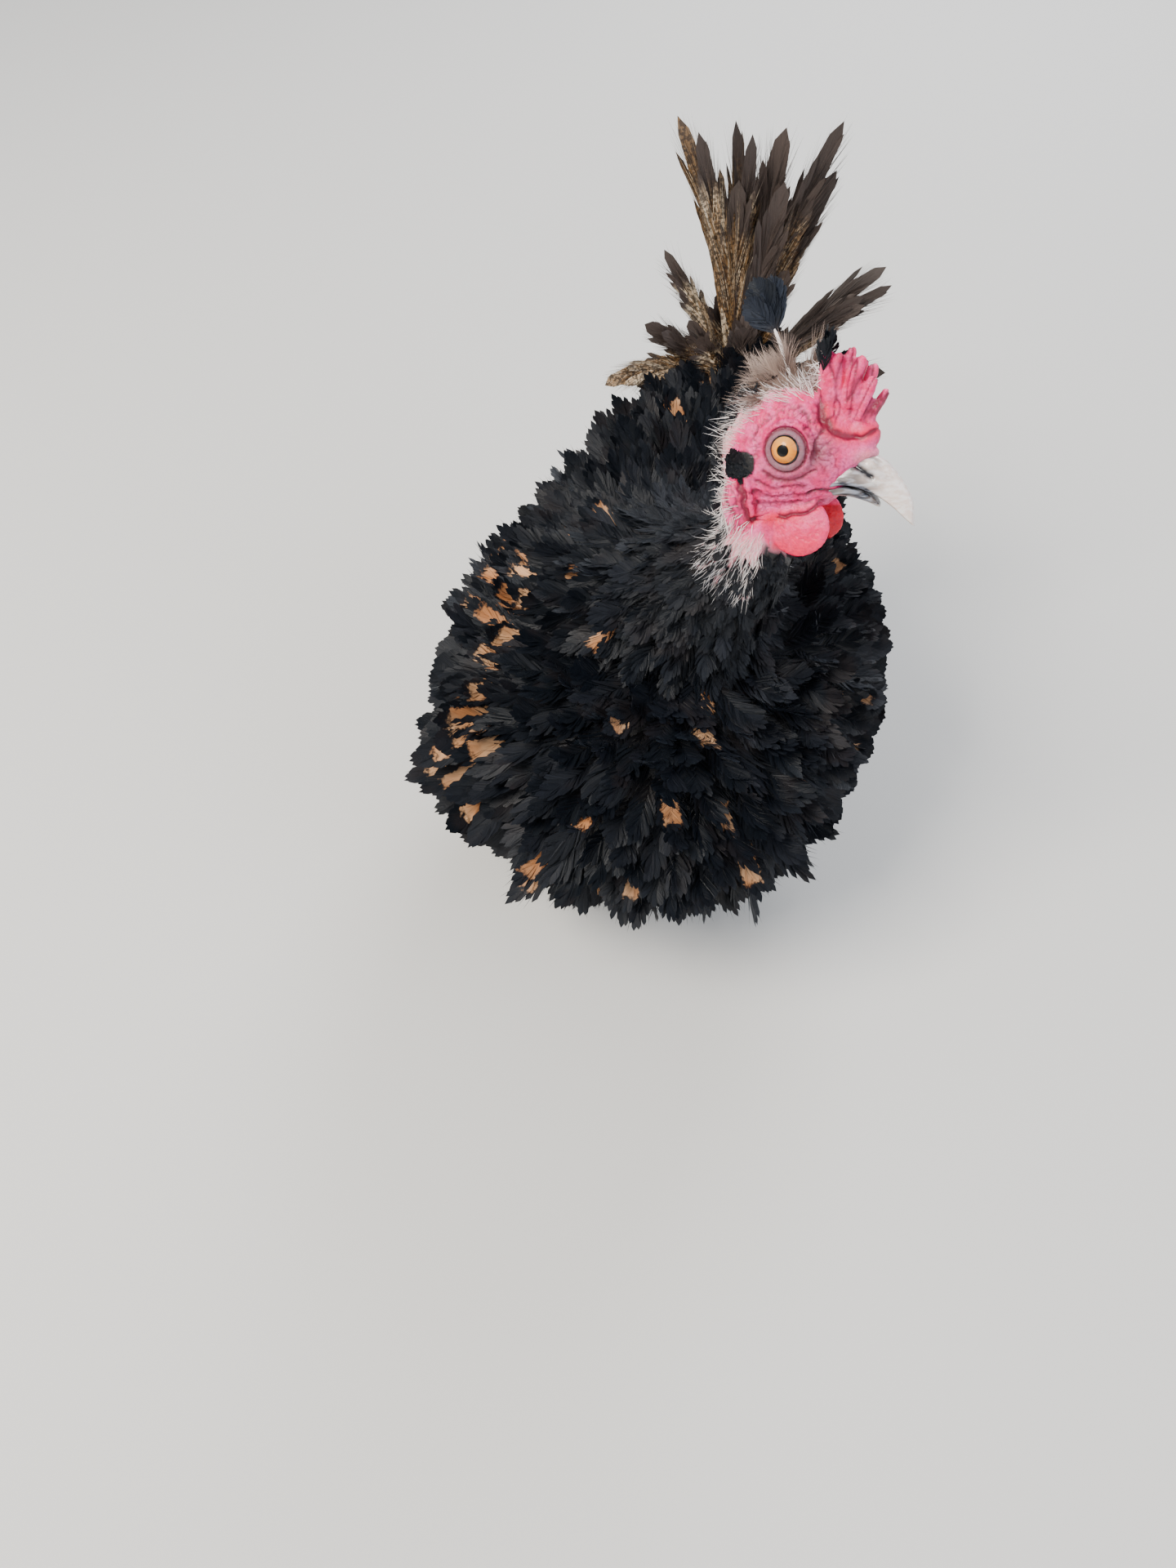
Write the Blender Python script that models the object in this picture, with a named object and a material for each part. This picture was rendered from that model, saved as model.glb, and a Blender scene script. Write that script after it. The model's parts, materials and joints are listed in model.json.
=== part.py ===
"""A frizzle-feathered crested hen, life size, standing still with its head turned to its left.

The bird faces -Y, +X is its own left and the floor is z = 0. Sizes are in metres.
The head has its own frame: +X along the bill, +Y to the bird's left, +Z up, origin between the eyes.
"""

import math
import random

import bmesh
import bpy
from mathutils import Euler, Matrix, Vector

MM = 0.001
GAP_MM = 0.3
GAP = GAP_MM * MM
# How far the faceted head, bills and throat are grown, in millimetres, where they cut a neighbour.
SHELL_GAP = 0.4
FEATHER_THICK, VANE_SUNK = 1.0 * MM, 5 * MM
# Side of a block larger than the bird, in millimetres.
ROOMY = 500
SEED = 14
# Triangles that lie this flat to each other, in degrees, are merged after a join.
FLAT_ANGLE = 0.3

# Torso outline, breast to rump: y, lowest z, highest z, half width, sideways shift of the middle.
TORSO = [
    (-100, 98, 112, 6, -8),
    (-94, 76, 134, 27, -8),
    (-78, 62, 152, 45, -8),
    (-54, 54, 165, 57, -8),
    (-26, 50, 175, 63, -8),
    (4, 50, 181, 65, -6),
    (34, 56, 182, 63, -3),
    (62, 68, 182, 56, 0),
    (86, 88, 183, 45, 4),
    (104, 114, 187, 31, 7),
    (116, 142, 188, 17, 9),
    (120, 160, 178, 5, 10),
]
TORSO_SIDES, TORSO_RINGS = 18, 14
# A feather's breadth, root to tip: share of its length, share of its width.
VANE_STATIONS = [(0.0, 0.45), (0.42, 1.0), (0.8, 0.86), (1.0, 0.0)]
# Body feathers: how many a whole coat would take, their shortest and longest lengths and their width.
BODY_FEATHERS, BODY_FEATHER_LENGTHS, BODY_FEATHER_WIDTH = 200, (34, 42), 24
GOLDEN_TURN = math.pi * (3 - math.sqrt(5))
# Lift off the skin, curl over the length and sideways bend of the body feathers, in degrees.
BODY_LIFT, BODY_CURL, BODY_BEND = (20, 32), (34, 66), (-16, 16)
# Body feathers stop this share of the way to the rump, where the tail's stump starts.
BODY_END = 0.95
LIE_FROM = Vector((2, -30, 186)) * MM

# Head pose: turned, raised and rolled in degrees, and the point between the eyes.
HEAD_AT = Vector((32, -28, 259)) * MM
HEAD_ROLL, HEAD_RAISE, HEAD_TURN = -23.0, 15.6, -15.5

# Head outline, nape to forehead, in the head's frame: x, lowest z, highest z, half width.
HEAD = [
    (-27.0, -8.0, 0.0, 3.0),
    (-24.5, -19.0, 9.0, 9.5),
    (-18.5, -25.5, 15.0, 13.5),
    (-11.0, -27.0, 18.5, 15.0),
    (-2.0, -25.5, 19.8, 15.0),
    (6.0, -23.0, 18.5, 14.0),
    (13.0, -20.5, 13.5, 12.2),
    (19.0, -18.0, 7.5, 10.0),
    (24.5, -15.0, 1.5, 7.8),
    (29.0, -12.0, -2.6, 5.4),
    (31.0, -10.0, -5.5, 2.5),
]
HEAD_SIDES, HEAD_RINGS = 18, 14

EYE_SIDE, EYE_RADIUS = 10.9 * MM, 7.2 * MM
LID_RADIUS, LID_THICK, LID_OUT = 6.6 * MM, 1.5 * MM, 3.6 * MM
LID_STEPS, LID_SIDES = 14, 5

# Bills, gape to tip, in the head's frame: x, lowest z, highest z, half width.
UPPER_BILL = [
    (7.5, -17.2, -15.8, 10.0),
    (11.0, -15.4, -11.5, 9.4),
    (16.5, -14.2, -7.0, 8.6),
    (21.0, -14.6, -4.2, 7.7),
    (25.5, -16.2, -3.9, 6.8),
    (30.0, -18.6, -5.6, 5.8),
    (34.4, -21.9, -9.6, 4.5),
    (38.2, -25.6, -14.8, 3.2),
    (40.6, -27.8, -19.6, 2.0),
    (41.3, -28.5, -24.5, 0.9),
]
LOWER_BILL = [
    (8.0, -19.8, -18.0, 8.6),
    (12.0, -19.6, -16.2, 8.0),
    (16.5, -19.4, -14.9, 7.2),
    (21.0, -20.2, -15.3, 6.3),
    (26.0, -21.6, -17.0, 5.2),
    (30.5, -23.2, -19.8, 4.0),
    (34.8, -25.3, -23.3, 2.6),
    (37.4, -26.5, -25.7, 1.4),
]
BILL_SIDES, UPPER_RINGS, LOWER_RINGS = 12, 12, 10

# Comb: two lobes, their centres, half sizes and lean, and its blunt points, base to tip.
COMB_LOBES = [((17.5, 0.0, 13.5), (9.4, 5.6, 11.5), -4.0), ((24.0, 0.0, 2.0), (7.4, 5.2, 6.4), 22.0)]
COMB_POINTS = [
    ((12.0, -1.5, 15.0), (11.6, -3.0, 23.5), (13.0, -4.0, 28.6), 3.9),
    ((16.5, -1.5, 16.0), (17.5, -3.0, 25.0), (18.6, -4.0, 30.6), 3.3),
    ((20.0, -1.0, 15.0), (22.0, -2.5, 23.0), (24.2, -3.2, 28.0), 3.2),
    ((22.0, 1.0, 12.0), (25.0, 1.0, 18.5), (26.9, 1.2, 23.2), 2.9),
    ((23.5, -0.5, 8.0), (28.0, -0.6, 13.0), (31.0, -0.8, 17.0), 2.7),
    ((13.0, 2.0, 15.0), (13.6, 3.6, 22.5), (15.0, 4.8, 27.0), 3.3),
    ((18.0, 2.0, 14.0), (19.5, 3.6, 21.0), (21.4, 4.6, 25.8), 3.1),
]

WATTLE_AT, WATTLE_SIZE, WATTLE_TILT = (4.6, 8.0, -27.6), (10.6, 2.3, 9.8), 10
EARLOBE_AT, EARLOBE_SIZE = (-17.8, 12.4, -19.0), (5.0, 3.2, 8.6)
# Ear tuft: a low pad with bristly vanes over it, lying back from the ear.
EAR_TUFT_AT, EAR_PAD_SIZE = (-15.4, 13.0, -4.2), (4.2, 2.2, 4.4)
# An ear vane: length, width, lift, curl, bend, depth of its root and thickness.
EAR_VANE = (6.5 * MM, 4.2 * MM, 24, 10, 0, 1.5 * MM, 0.6 * MM)
# Where the ear's vanes leave the pad: forward and up from its middle.
EAR_VANES = [(-2.2, 2.4), (-2.0, -2.2), (0.8, 3.4), (1.2, 0.2), (0.8, -3.0)]
# Crest: a low pad on the crown, its locks (x, y, backward lean, length, width) and one long quill.
CREST_PAD_AT, CREST_PAD_SIZE = (2.0, 0.0, 17.6), (9.5, 6.5, 5.2)
CREST_LOCKS = [
    (6.5, -2.5, -14, 17, 6), (6.0, 2.4, -8, 16, 6), (4.0, 0.0, 2, 19, 7), (2.2, -4.0, 8, 14, 6),
    (1.4, 3.6, 12, 15, 6), (-0.8, 0.0, 24, 16, 6), (-2.8, -3.0, 36, 13, 5), (-3.6, 2.8, 42, 13, 5),
    (-5.6, 0.0, 56, 12, 5),
]
QUILL = [(-1.5, -1.0, 18.0, 1.1), (-4.0, -1.2, 27.0, 1.0), (-7.2, -1.4, 38.0, 0.8)]
# The vane on that quill: length, width, lift, curl, bend and depth of its root.
QUILL_VANE = (21 * MM, 14 * MM, 0, 10, -14, 3 * MM)
LOCK_SUNK, LOCK_THICK = 3 * MM, 0.8 * MM
CREST_ROOT_Z = 21.5
COMB_ROOM_AT, COMB_ROOM_SIZE = (7.6, 0.0, 18.0), (50, 60, 60)
NOSTRIL_AT, NOSTRIL_SIZE, NOSTRIL_LEAN = (24.5, 7.2, -8.9), (3.2, 1.6, 1.1), 30.0

# Neck: its path from inside the torso to inside the head, and the radius at each point.
NECK_PATH = [
    (-4, 6, 118, 48),
    (-6, -6, 148, 44),
    (-4, -19, 174, 36),
    (6, -32, 196, 26.5),
    (17, -39, 212, 19.5),
    (24, -39, 227, 14.5),
    (27, -32, 246, 9),
]
NECK_SIDES, THROAT_START = 18, 0.6
# Rows of hackle feathers down the neck: share of its path, feathers round it, length, width.
NECK_ROWS = [
    (0.76, 8, 24, 10),
    (0.66, 9, 30, 14),
    (0.55, 10, 35, 18),
    (0.44, 11, 40, 21),
    (0.35, 11, 42, 23),
]
NECK_LIFT, NECK_CURL, NECK_BEND = (24, 36), (36, 66), (-14, 14)
NECK_BASE_AT, NECK_BASE_NORMAL = Vector((-5, -20, 168)) * MM, Vector((0.06, -0.22, 0.97))
NECK_TOP_AT, NECK_TOP_NORMAL = (-13.0, 0.0, -33.0), (0.30, 0.0, 1.0)

WING_AT, WING_SIZE = {1: (40, 6, 116), -1: (-55, 0, 104)}, (32, 66, 48)
WING_PITCH = {1: -6.0, -1: -10.0}
WING_LIE = math.radians(-24)
WING_LIFT = {1: (10, 20), -1: (18, 32)}
WING_BEND = (-4, 14)
# Tiers of the wing, top to bottom: height on the plate, feathers, length, width, curl in degrees.
WING_ROWS = [(0.72, 4, 32, 21, 80), (0.38, 5, 34, 21, 70), (0.02, 5, 38, 21, 62), (-0.36, 6, 44, 19, 54),
             (-0.72, 5, 50, 18, 46)]
WING_ZONE_AT, WING_ZONE_SIZE = {1: (88, 4, 104), -1: (-102, 0, 97)}, (86, 148, 126)
# Body feathers start this far inside the edge of that block, so that they cover the wing's rim.
WING_HEM = 14

TAIL_AT, TAIL_RAISE = Vector((11, 116, 176)) * MM, 68.0
TAIL_STUMP, TAIL_ROOT = (18, 14, 20), 16 * MM
# Tail feathers: angle from upright to the bird's left, set forward or back, length, width, bend sideways.
TAIL_FEATHERS = [
    (-21, 2, 120, 22, -16),
    (-13, -8, 114, 24, -8),
    (-5, 4, 114, 25, 2),
    (3, -6, 106, 25, 8),
    (11, 6, 102, 25, 16),
    (18, -3, 120, 22, 22),
    (-32, 7, 80, 24, -18),
    (-24, 14, 72, 24, -10),
    (-44, 12, 62, 24, -30),
    (-68, 6, 66, 22, -50),
    (32, 8, 84, 24, 22),
    (40, -5, 88, 24, 26),
    (56, 6, 72, 22, 30),
    (66, 14, 58, 20, 34),
    (-6, 20, 74, 24, -6),
    (12, 22, 70, 24, 8),
    (-26, -20, 48, 22, -12),
    (2, -26, 48, 22, 0),
    (30, -20, 48, 22, 12),
    (-34, 34, 46, 22, -16),
    (0, 40, 48, 22, 0),
    (34, 34, 46, 22, 16),
]

THIGH_X, THIGH_TOP_Y, THIGH_TOP_Z = 28 * MM, 2 * MM, 88 * MM
HOCK = Vector((27, 17, 49)) * MM
ANKLE = Vector((29, 3, 11)) * MM
LEG_ZONE_X, LEG_ZONE_Y, LEG_ZONE_R, LEG_ZONE_TOP = 28.5, 10, 26, 56
THIGH_ROWS, THIGH_WIDTH = [(0.62, 4, 24), (0.84, 3, 20)], 18 * MM
THIGH_LIFT, THIGH_CURL = 16, (35, 60)
THIGH_TOP_R, THIGH_LOW_R, THIGH_SUNK, SHANK_R = 21 * MM, 9.5 * MM, 4 * MM, 4.3 * MM
THIGH_SIDES, SHANK_SIDES, TOE_SIDES = 12, 10, 6
TOES = [(-22, 40), (0, 45), (22, 37), (172, 20)]
TOE_R, CLAW_LENGTH, CLAW_TIP_Z, SOLE_LIFT = 3.5, 8.5, 0.4, 0.78
TOE_ROWS = [(0.0, 1.2), (0.36, 1.05), (0.66, 0.92), (0.92, 0.84), (1.0, 0.55)]
PAD_ROWS = [(7, 4.2), (2, 6.4), (-4, 6.4), (-9, 4.6)]

COLOURS = {
    "feather": ((0.012, 0.012, 0.014), 0.55),
    "tail": ((0.07, 0.045, 0.025), 0.6),
    "face": ((0.72, 0.13, 0.16), 0.55),
    "comb": ((0.75, 0.08, 0.12), 0.5),
    "lobe": ((0.74, 0.30, 0.30), 0.6),
    "horn": ((0.78, 0.66, 0.53), 0.3),
    "eye": ((0.85, 0.42, 0.05), 0.08),
    "leg": ((0.23, 0.25, 0.29), 0.5),
    "crest": ((0.30, 0.26, 0.24), 0.7),
}

rng = random.Random(SEED)
HEAD_TURNED = Euler((math.radians(HEAD_ROLL), math.radians(-HEAD_RAISE), math.radians(HEAD_TURN)))
HEAD_FRAME = Matrix.Translation(HEAD_AT) @ HEAD_TURNED.to_matrix().to_4x4()


def clear_scene():
    """Removes what the startup file holds."""
    for obj in list(bpy.data.objects):
        bpy.data.objects.remove(obj, do_unlink=True)


def make_collection(name, hidden=False):
    collection = bpy.data.collections.new(name)
    collection.hide_render = hidden
    bpy.context.scene.collection.children.link(collection)
    return collection


def make_material(name):
    """A Principled material of the named colour and roughness."""
    colour, roughness = COLOURS[name]
    material = bpy.data.materials.new(name)
    material.use_nodes = True
    shader = material.node_tree.nodes["Principled BSDF"]
    shader.inputs["Base Color"].default_value = (*colour, 1)
    shader.inputs["Roughness"].default_value = roughness
    shader.inputs["Metallic"].default_value = 0
    material.diffuse_color = (*colour, 1)
    return material


def mixed_row(rows, t):
    """The row of numbers at t, 0 at the first row and 1 at the last, on a smooth curve through them all."""
    place = min(max(t, 0.0), 1.0) * (len(rows) - 1)
    i = min(int(place), len(rows) - 2)
    f = place - i
    around = [rows[min(max(k, 0), len(rows) - 1)] for k in (i - 1, i, i + 1, i + 2)]
    return [
        0.5 * (2 * b + (c - a) * f + (2 * a - 5 * b + 4 * c - d) * f**2 + (3 * b - a - 3 * c + d) * f**3)
        for a, b, c, d in zip(*around)
    ]


def piece(bm, collection, name="piece"):
    """The bmesh as a mesh object, with its faces turned outwards."""
    bm.normal_update()
    bmesh.ops.recalc_face_normals(bm, faces=bm.faces)
    bmesh.ops.triangulate(bm, faces=bm.faces)
    mesh = bpy.data.meshes.new(name)
    bm.to_mesh(mesh)
    bm.free()
    obj = bpy.data.objects.new(name, mesh)
    collection.objects.link(obj)
    return obj


def loft(rings, collection, tip=None, frame=None):
    """One closed piece skinned over rings of points. A tip is a last single point."""
    bm = bmesh.new()
    made = [[bm.verts.new(p) for p in ring] for ring in rings]
    sides = len(rings[0])
    for low, high in zip(made, made[1:]):
        for i in range(sides):
            j = (i + 1) % sides
            bm.faces.new((low[i], low[j], high[j], high[i]))
    bm.faces.new(made[0])
    if tip is None:
        bm.faces.new(made[-1])
    else:
        point = bm.verts.new(tip)
        for i in range(sides):
            bm.faces.new((made[-1][i], made[-1][(i + 1) % sides], point))
    if frame is not None:
        bm.transform(frame)
    return piece(bm, collection)


def oval_ring(row, sides, grow=0.0):
    """A ring across x for a row of x, lowest z, highest z and half width, in millimetres."""
    x, low, high, half = row
    ring = []
    for k in range(sides):
        angle = 2 * math.pi * k / sides
        y = math.cos(angle) * (half + grow)
        z = (low + high) / 2 + math.sin(angle) * ((high - low) / 2 + grow)
        ring.append(Vector((x, y, z)) * MM)
    return ring


def outline_loft(rows, count, sides, collection, grow=0.0):
    """A closed head or bill form through its rows, in the head's frame, grown by some millimetres."""
    ends = [rows[0][0] - grow, rows[-1][0] + grow]
    rings = [oval_ring(mixed_row(rows, k / (count - 1)), sides, grow) for k in range(count)]
    for ring, x in ((rings[0], ends[0]), (rings[-1], ends[1])):
        for point in ring:
            point.x = x * MM
    return loft(rings, collection, frame=HEAD_FRAME)


def torso_point(t, angle, grow=0.0):
    """A point of the torso's surface. The angle runs from the bird's left, over its back."""
    y, low, high, half, shift = mixed_row(TORSO, t)
    x = shift + math.cos(angle) * (half + grow)
    z = (low + high) / 2 + math.sin(angle) * ((high - low) / 2 + grow)
    return Vector((x, y, z)) * MM


def torso_frame(t, angle):
    """Surface point, the outward normal and the lie, which runs back along the body."""
    step = 0.01
    point = torso_point(t, angle)
    back = torso_point(t + step, angle) - torso_point(t - step, angle)
    round_body = torso_point(t, angle + step) - torso_point(t, angle - step)
    out = back.cross(round_body).normalized()
    if out.dot(point - torso_point(t, angle, -10)) < 0:
        out = -out
    return point, out, back.normalized()


def torso_loft(collection, grow=0.0):
    """The torso's core as one closed form, grown by some millimetres."""
    rings = [
        [torso_point(k / (TORSO_RINGS - 1), 2 * math.pi * i / TORSO_SIDES, grow) for i in range(TORSO_SIDES)]
        for k in range(TORSO_RINGS)
    ]
    return loft(rings, collection)


def tube(path, sides, collection, frame=None, tip=None, floor=False):
    """A closed tube along rows of x, y, z and radius in millimetres. On the floor its underside is flat."""
    points = [Vector(row[:3]) * MM for row in path]
    rings = []
    for i, point in enumerate(points):
        along = (points[min(i + 1, len(points) - 1)] - points[max(i - 1, 0)]).normalized()
        side = along.cross(Vector((0, 0, 1)) if abs(along.z) < 0.9 else Vector((0, 1, 0))).normalized()
        over = side.cross(along)
        radius = path[i][3] * MM
        ring = []
        for k in range(sides):
            angle = 2 * math.pi * (k + 0.5) / sides
            at = point + (side * math.cos(angle) + over * math.sin(angle)) * radius
            if floor:
                at.z = max(at.z, 0.0)
            ring.append(at)
        rings.append(ring)
    return loft(rings, collection, tip=tip, frame=frame)


def vane(
    collection, root, lie, out, length, width, lift, curl, bend, sunk=VANE_SUNK, thick=FEATHER_THICK
):
    """One curled feather as a closed tapered strip with a raised shaft.

    It leaves its root along the lie, lifted by some degrees, and curls outwards and bends sideways.
    """
    lie = (lie - out * lie.dot(out)).normalized()
    across = lie.cross(out).normalized()
    at, before = root, -sunk / length
    rings = []
    for s, share in VANE_STATIONS:
        middle = (s + max(before, 0.0)) / 2
        at = at + vane_axes(lie, across, out, lift + curl * middle, bend * middle)[0] * length * (s - before)
        if s == 0.0:
            at = root
        before = s
        _, side, over = vane_axes(lie, across, out, lift + curl * s, bend * s)
        half = side * (width * share / 2)
        if s == 0.0:
            start = root - vane_axes(lie, across, out, lift, 0)[0] * sunk
            rings.append([start - half, start + over * thick, start + half])
        elif share:
            rings.append([at - half, at + over * thick * (1 - 0.4 * s), at + half])
    return loft(rings, collection, tip=at)


def vane_axes(lie, across, out, lift, bend):
    """The heading, side and upper directions of a feather where it is lifted and bent by so many degrees."""
    up, turn = math.radians(lift), math.radians(bend)
    level = lie * math.cos(turn) + across * math.sin(turn)
    side = across * math.cos(turn) - lie * math.sin(turn)
    return level * math.cos(up) + out * math.sin(up), side, out * math.cos(up) - level * math.sin(up)


def ellipsoid(collection, centre, size, frame=Matrix(), turn=Matrix(), segments=16, rings=10):
    """A closed ellipsoid, its centre and half sizes in millimetres."""
    bm = bmesh.new()
    bmesh.ops.create_uvsphere(bm, u_segments=segments, v_segments=rings, radius=1)
    scale = Matrix.Diagonal((*(Vector(size) * MM), 1))
    bm.transform(frame @ Matrix.Translation(Vector(centre) * MM) @ turn @ scale)
    return piece(bm, collection)


def box(collection, centre, size, frame=Matrix()):
    """A closed box, its centre and full sizes in millimetres."""
    bm = bmesh.new()
    bmesh.ops.create_cube(bm, size=1)
    scale = Matrix.Diagonal((*(Vector(size) * MM), 1))
    bm.transform(frame @ Matrix.Translation(Vector(centre) * MM) @ scale)
    return piece(bm, collection)


def half_space(collection, at, normal, gap=GAP):
    """A large box that fills the side the normal points to, from a gap behind the plane."""
    normal = Vector(normal).normalized()
    frame = Matrix.Translation(at - normal * gap) @ normal.to_track_quat("Z", "Y").to_matrix().to_4x4()
    return box(collection, (0, 0, ROOMY / 2), (ROOMY, ROOMY, ROOMY), frame)


def keep_largest(obj):
    """Triangulates the mesh and keeps only its largest closed surface."""
    bm = bmesh.new()
    bm.from_mesh(obj.data)
    bmesh.ops.dissolve_limit(bm, angle_limit=math.radians(FLAT_ANGLE), verts=bm.verts, edges=bm.edges)
    bmesh.ops.triangulate(bm, faces=bm.faces)
    left, groups = set(bm.verts), []
    while left:
        stack, group = [left.pop()], []
        while stack:
            vert = stack.pop()
            group.append(vert)
            near = {edge.other_vert(vert) for edge in vert.link_edges} & left
            left -= near
            stack.extend(near)
        groups.append(group)
    groups.sort(key=len, reverse=True)
    for group in groups[1:]:
        bmesh.ops.delete(bm, geom=group, context="VERTS")
    bm.to_mesh(obj.data)
    bm.free()


def apply_boolean(obj, operation, pieces, solver):
    """Joins or cuts the object by a list of closed objects, and removes them."""
    tools = make_collection("tools", hidden=True)
    for other in pieces:
        for collection in list(other.users_collection):
            collection.objects.unlink(other)
        tools.objects.link(other)
    modifier = obj.modifiers.new("join", "BOOLEAN")
    modifier.operation = operation
    modifier.operand_type = "COLLECTION"
    modifier.collection = tools
    modifier.solver = solver
    graph = bpy.context.evaluated_depsgraph_get()
    mesh = bpy.data.meshes.new_from_object(obj.evaluated_get(graph), depsgraph=graph)
    obj.modifiers.clear()
    obj.data = mesh
    for other in list(tools.objects):
        bpy.data.objects.remove(other, do_unlink=True)
    bpy.data.collections.remove(tools)


def fuse(name, pieces, material, collection, cutters=(), within=None, solver="MANIFOLD"):
    """One node: its pieces joined, kept within a block and cut by the cutters, as one closed mesh."""
    obj = pieces[0]
    if len(pieces) > 1:
        apply_boolean(obj, "UNION", pieces[1:], solver)
    if within is not None:
        apply_boolean(obj, "INTERSECT", [within], solver)
    for cutter in cutters:
        apply_boolean(obj, "DIFFERENCE", [cutter], solver)
    keep_largest(obj)
    obj.name = name
    obj.data.name = name
    for other in list(obj.users_collection):
        other.objects.unlink(obj)
    collection.objects.link(obj)
    obj.data.materials.clear()
    obj.data.materials.append(material)
    obj.data.shade_smooth()
    obj.data.set_sharp_from_angle(angle=math.radians(35))
    return obj


def head_point(x, y, z):
    return HEAD_FRAME @ (Vector((x, y, z)) * MM)


def head_direction(vector):
    return (HEAD_FRAME.to_3x3() @ Vector(vector)).normalized()


def neck_top_plane():
    return head_point(*NECK_TOP_AT), head_direction(NECK_TOP_NORMAL)


def neck_tube(scratch, grow=0.0, start=0.0, count=12):
    """The neck's core, grown by some millimetres, from a share of its path to its end in the head."""
    rows = [mixed_row(NECK_PATH, start + (1 - start) * k / (count - 1)) for k in range(count)]
    return tube([(x, y, z, r + grow) for x, y, z, r in rows], NECK_SIDES, scratch)


def throat(scratch, grow=0.0):
    """The bare upper end of the neck, under the head."""
    return neck_tube(scratch, grow, THROAT_START, 6)


def wing_zone(scratch, side, grow=0.0):
    """The block of space that holds a wing, less the torso's core."""
    size = [v + 2 * grow for v in WING_ZONE_SIZE]
    zone = box(scratch, WING_ZONE_AT[side], size)
    apply_boolean(zone, "DIFFERENCE", [torso_loft(scratch, grow=GAP_MM - grow)], "MANIFOLD")
    return zone


def in_wing_zone(point):
    """True where a wing covers the torso."""
    x, y, z = WING_ZONE_AT[1 if point.x > 0 else -1]
    dx, dy, dz = WING_ZONE_SIZE
    inside_y = abs(point.y / MM - y) < dy / 2 - WING_HEM / 2
    inside_z = abs(point.z / MM - z) < dz / 2 - WING_HEM
    return inside_y and inside_z and abs(point.x / MM) > abs(x) - dx / 2 - WING_HEM


def near_neck(point, margin):
    return (point - NECK_BASE_AT).dot(NECK_BASE_NORMAL.normalized()) > -margin * MM


def near_leg(point, margin):
    across = Vector((abs(point.x) / MM - LEG_ZONE_X, point.y / MM - LEG_ZONE_Y))
    return point.z < (LEG_ZONE_TOP + margin) * MM and across.length < LEG_ZONE_R + margin


def body_vanes(scratch):
    """Curled feathers spread evenly over the torso. Each lies away from the throat, as a frizzle's do."""
    vanes = []
    short, full = BODY_FEATHER_LENGTHS
    for k in range(BODY_FEATHERS):
        share = math.acos(1 - 2 * (k + 0.5) / BODY_FEATHERS) / math.pi
        root, out, _ = torso_frame(share, k * GOLDEN_TURN + rng.uniform(-0.06, 0.06))
        lift, curl, bend = rng.uniform(*BODY_LIFT), rng.uniform(*BODY_CURL), rng.uniform(*BODY_BEND)
        size = (short + (full - short) * math.sin(math.pi * share)) * rng.uniform(0.92, 1.08) * MM
        if in_wing_zone(root) or near_neck(root, 2) or near_leg(root, 1) or share > BODY_END:
            continue
        lie = root - LIE_FROM
        vanes.append(vane(scratch, root, lie, out, size, BODY_FEATHER_WIDTH * MM, lift, curl, bend))
    return vanes


def build_torso(scratch, parts, materials):
    """The torso's core with rows of curled feathers, parted from the neck, wings, thighs and tail."""
    pieces = [torso_loft(scratch), *body_vanes(scratch)]
    cutters = [half_space(scratch, NECK_BASE_AT, NECK_BASE_NORMAL)]
    cutters.append(half_space(scratch, TAIL_AT, tail_axis()))
    cutters += [wing_zone(scratch, side, grow=GAP_MM) for side in (1, -1)]
    cutters += [leg_zone(scratch, side, grow=GAP_MM) for side in (1, -1)]
    cutters += [thigh_core(scratch, side, grow=GAP_MM) for side in (1, -1)]
    return fuse("torso", pieces, materials["feather"], parts, cutters)


def tail_axis():
    angle = math.radians(TAIL_RAISE)
    return Vector((0, math.cos(angle), math.sin(angle)))


def thigh_path(side, grow=0.0):
    rows = []
    for share in (0.0, 0.35, 0.7, 1.0):
        top = Vector((side * THIGH_X, THIGH_TOP_Y, THIGH_TOP_Z))
        low = Vector((side * HOCK.x, HOCK.y, HOCK.z))
        at = top.lerp(low, share)
        radius = THIGH_TOP_R + (THIGH_LOW_R - THIGH_TOP_R) * share**0.8
        rows.append((at.x / MM, at.y / MM, at.z / MM, radius / MM + grow))
    return rows


def leg_zone(scratch, side, grow=0.0):
    """The upright block of space that holds a thigh and its feathers, below the body."""
    rows = [(side * LEG_ZONE_X, LEG_ZONE_Y, z, LEG_ZONE_R + grow) for z in (-1, LEG_ZONE_TOP + grow)]
    return tube(rows, THIGH_SIDES, scratch)


def thigh_core(scratch, side, grow=0.0):
    return tube(thigh_path(side, grow), THIGH_SIDES, scratch)


def thigh_vanes(scratch, side):
    """Short feathers down the thigh, kept on its own side of the bird."""
    rows = thigh_path(side)
    lie = (Vector(rows[-1][:3]) - Vector(rows[0][:3])).normalized()
    vanes = []
    for share, count, length in THIGH_ROWS:
        x, y, z, radius = mixed_row(rows, share)
        for k in range(count):
            angle = 2 * math.pi * (k + rng.uniform(0.3, 0.7)) / count
            out = Vector((math.cos(angle), math.sin(angle), 0))
            root = (Vector((x, y, z)) + out * radius) * MM
            size = rng.uniform(0.9, 1.1) * length * MM
            curl = rng.uniform(*THIGH_CURL)
            vanes.append(vane(scratch, root, lie, out, size, THIGH_WIDTH, THIGH_LIFT, curl, 0, THIGH_SUNK))
    return vanes


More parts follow.
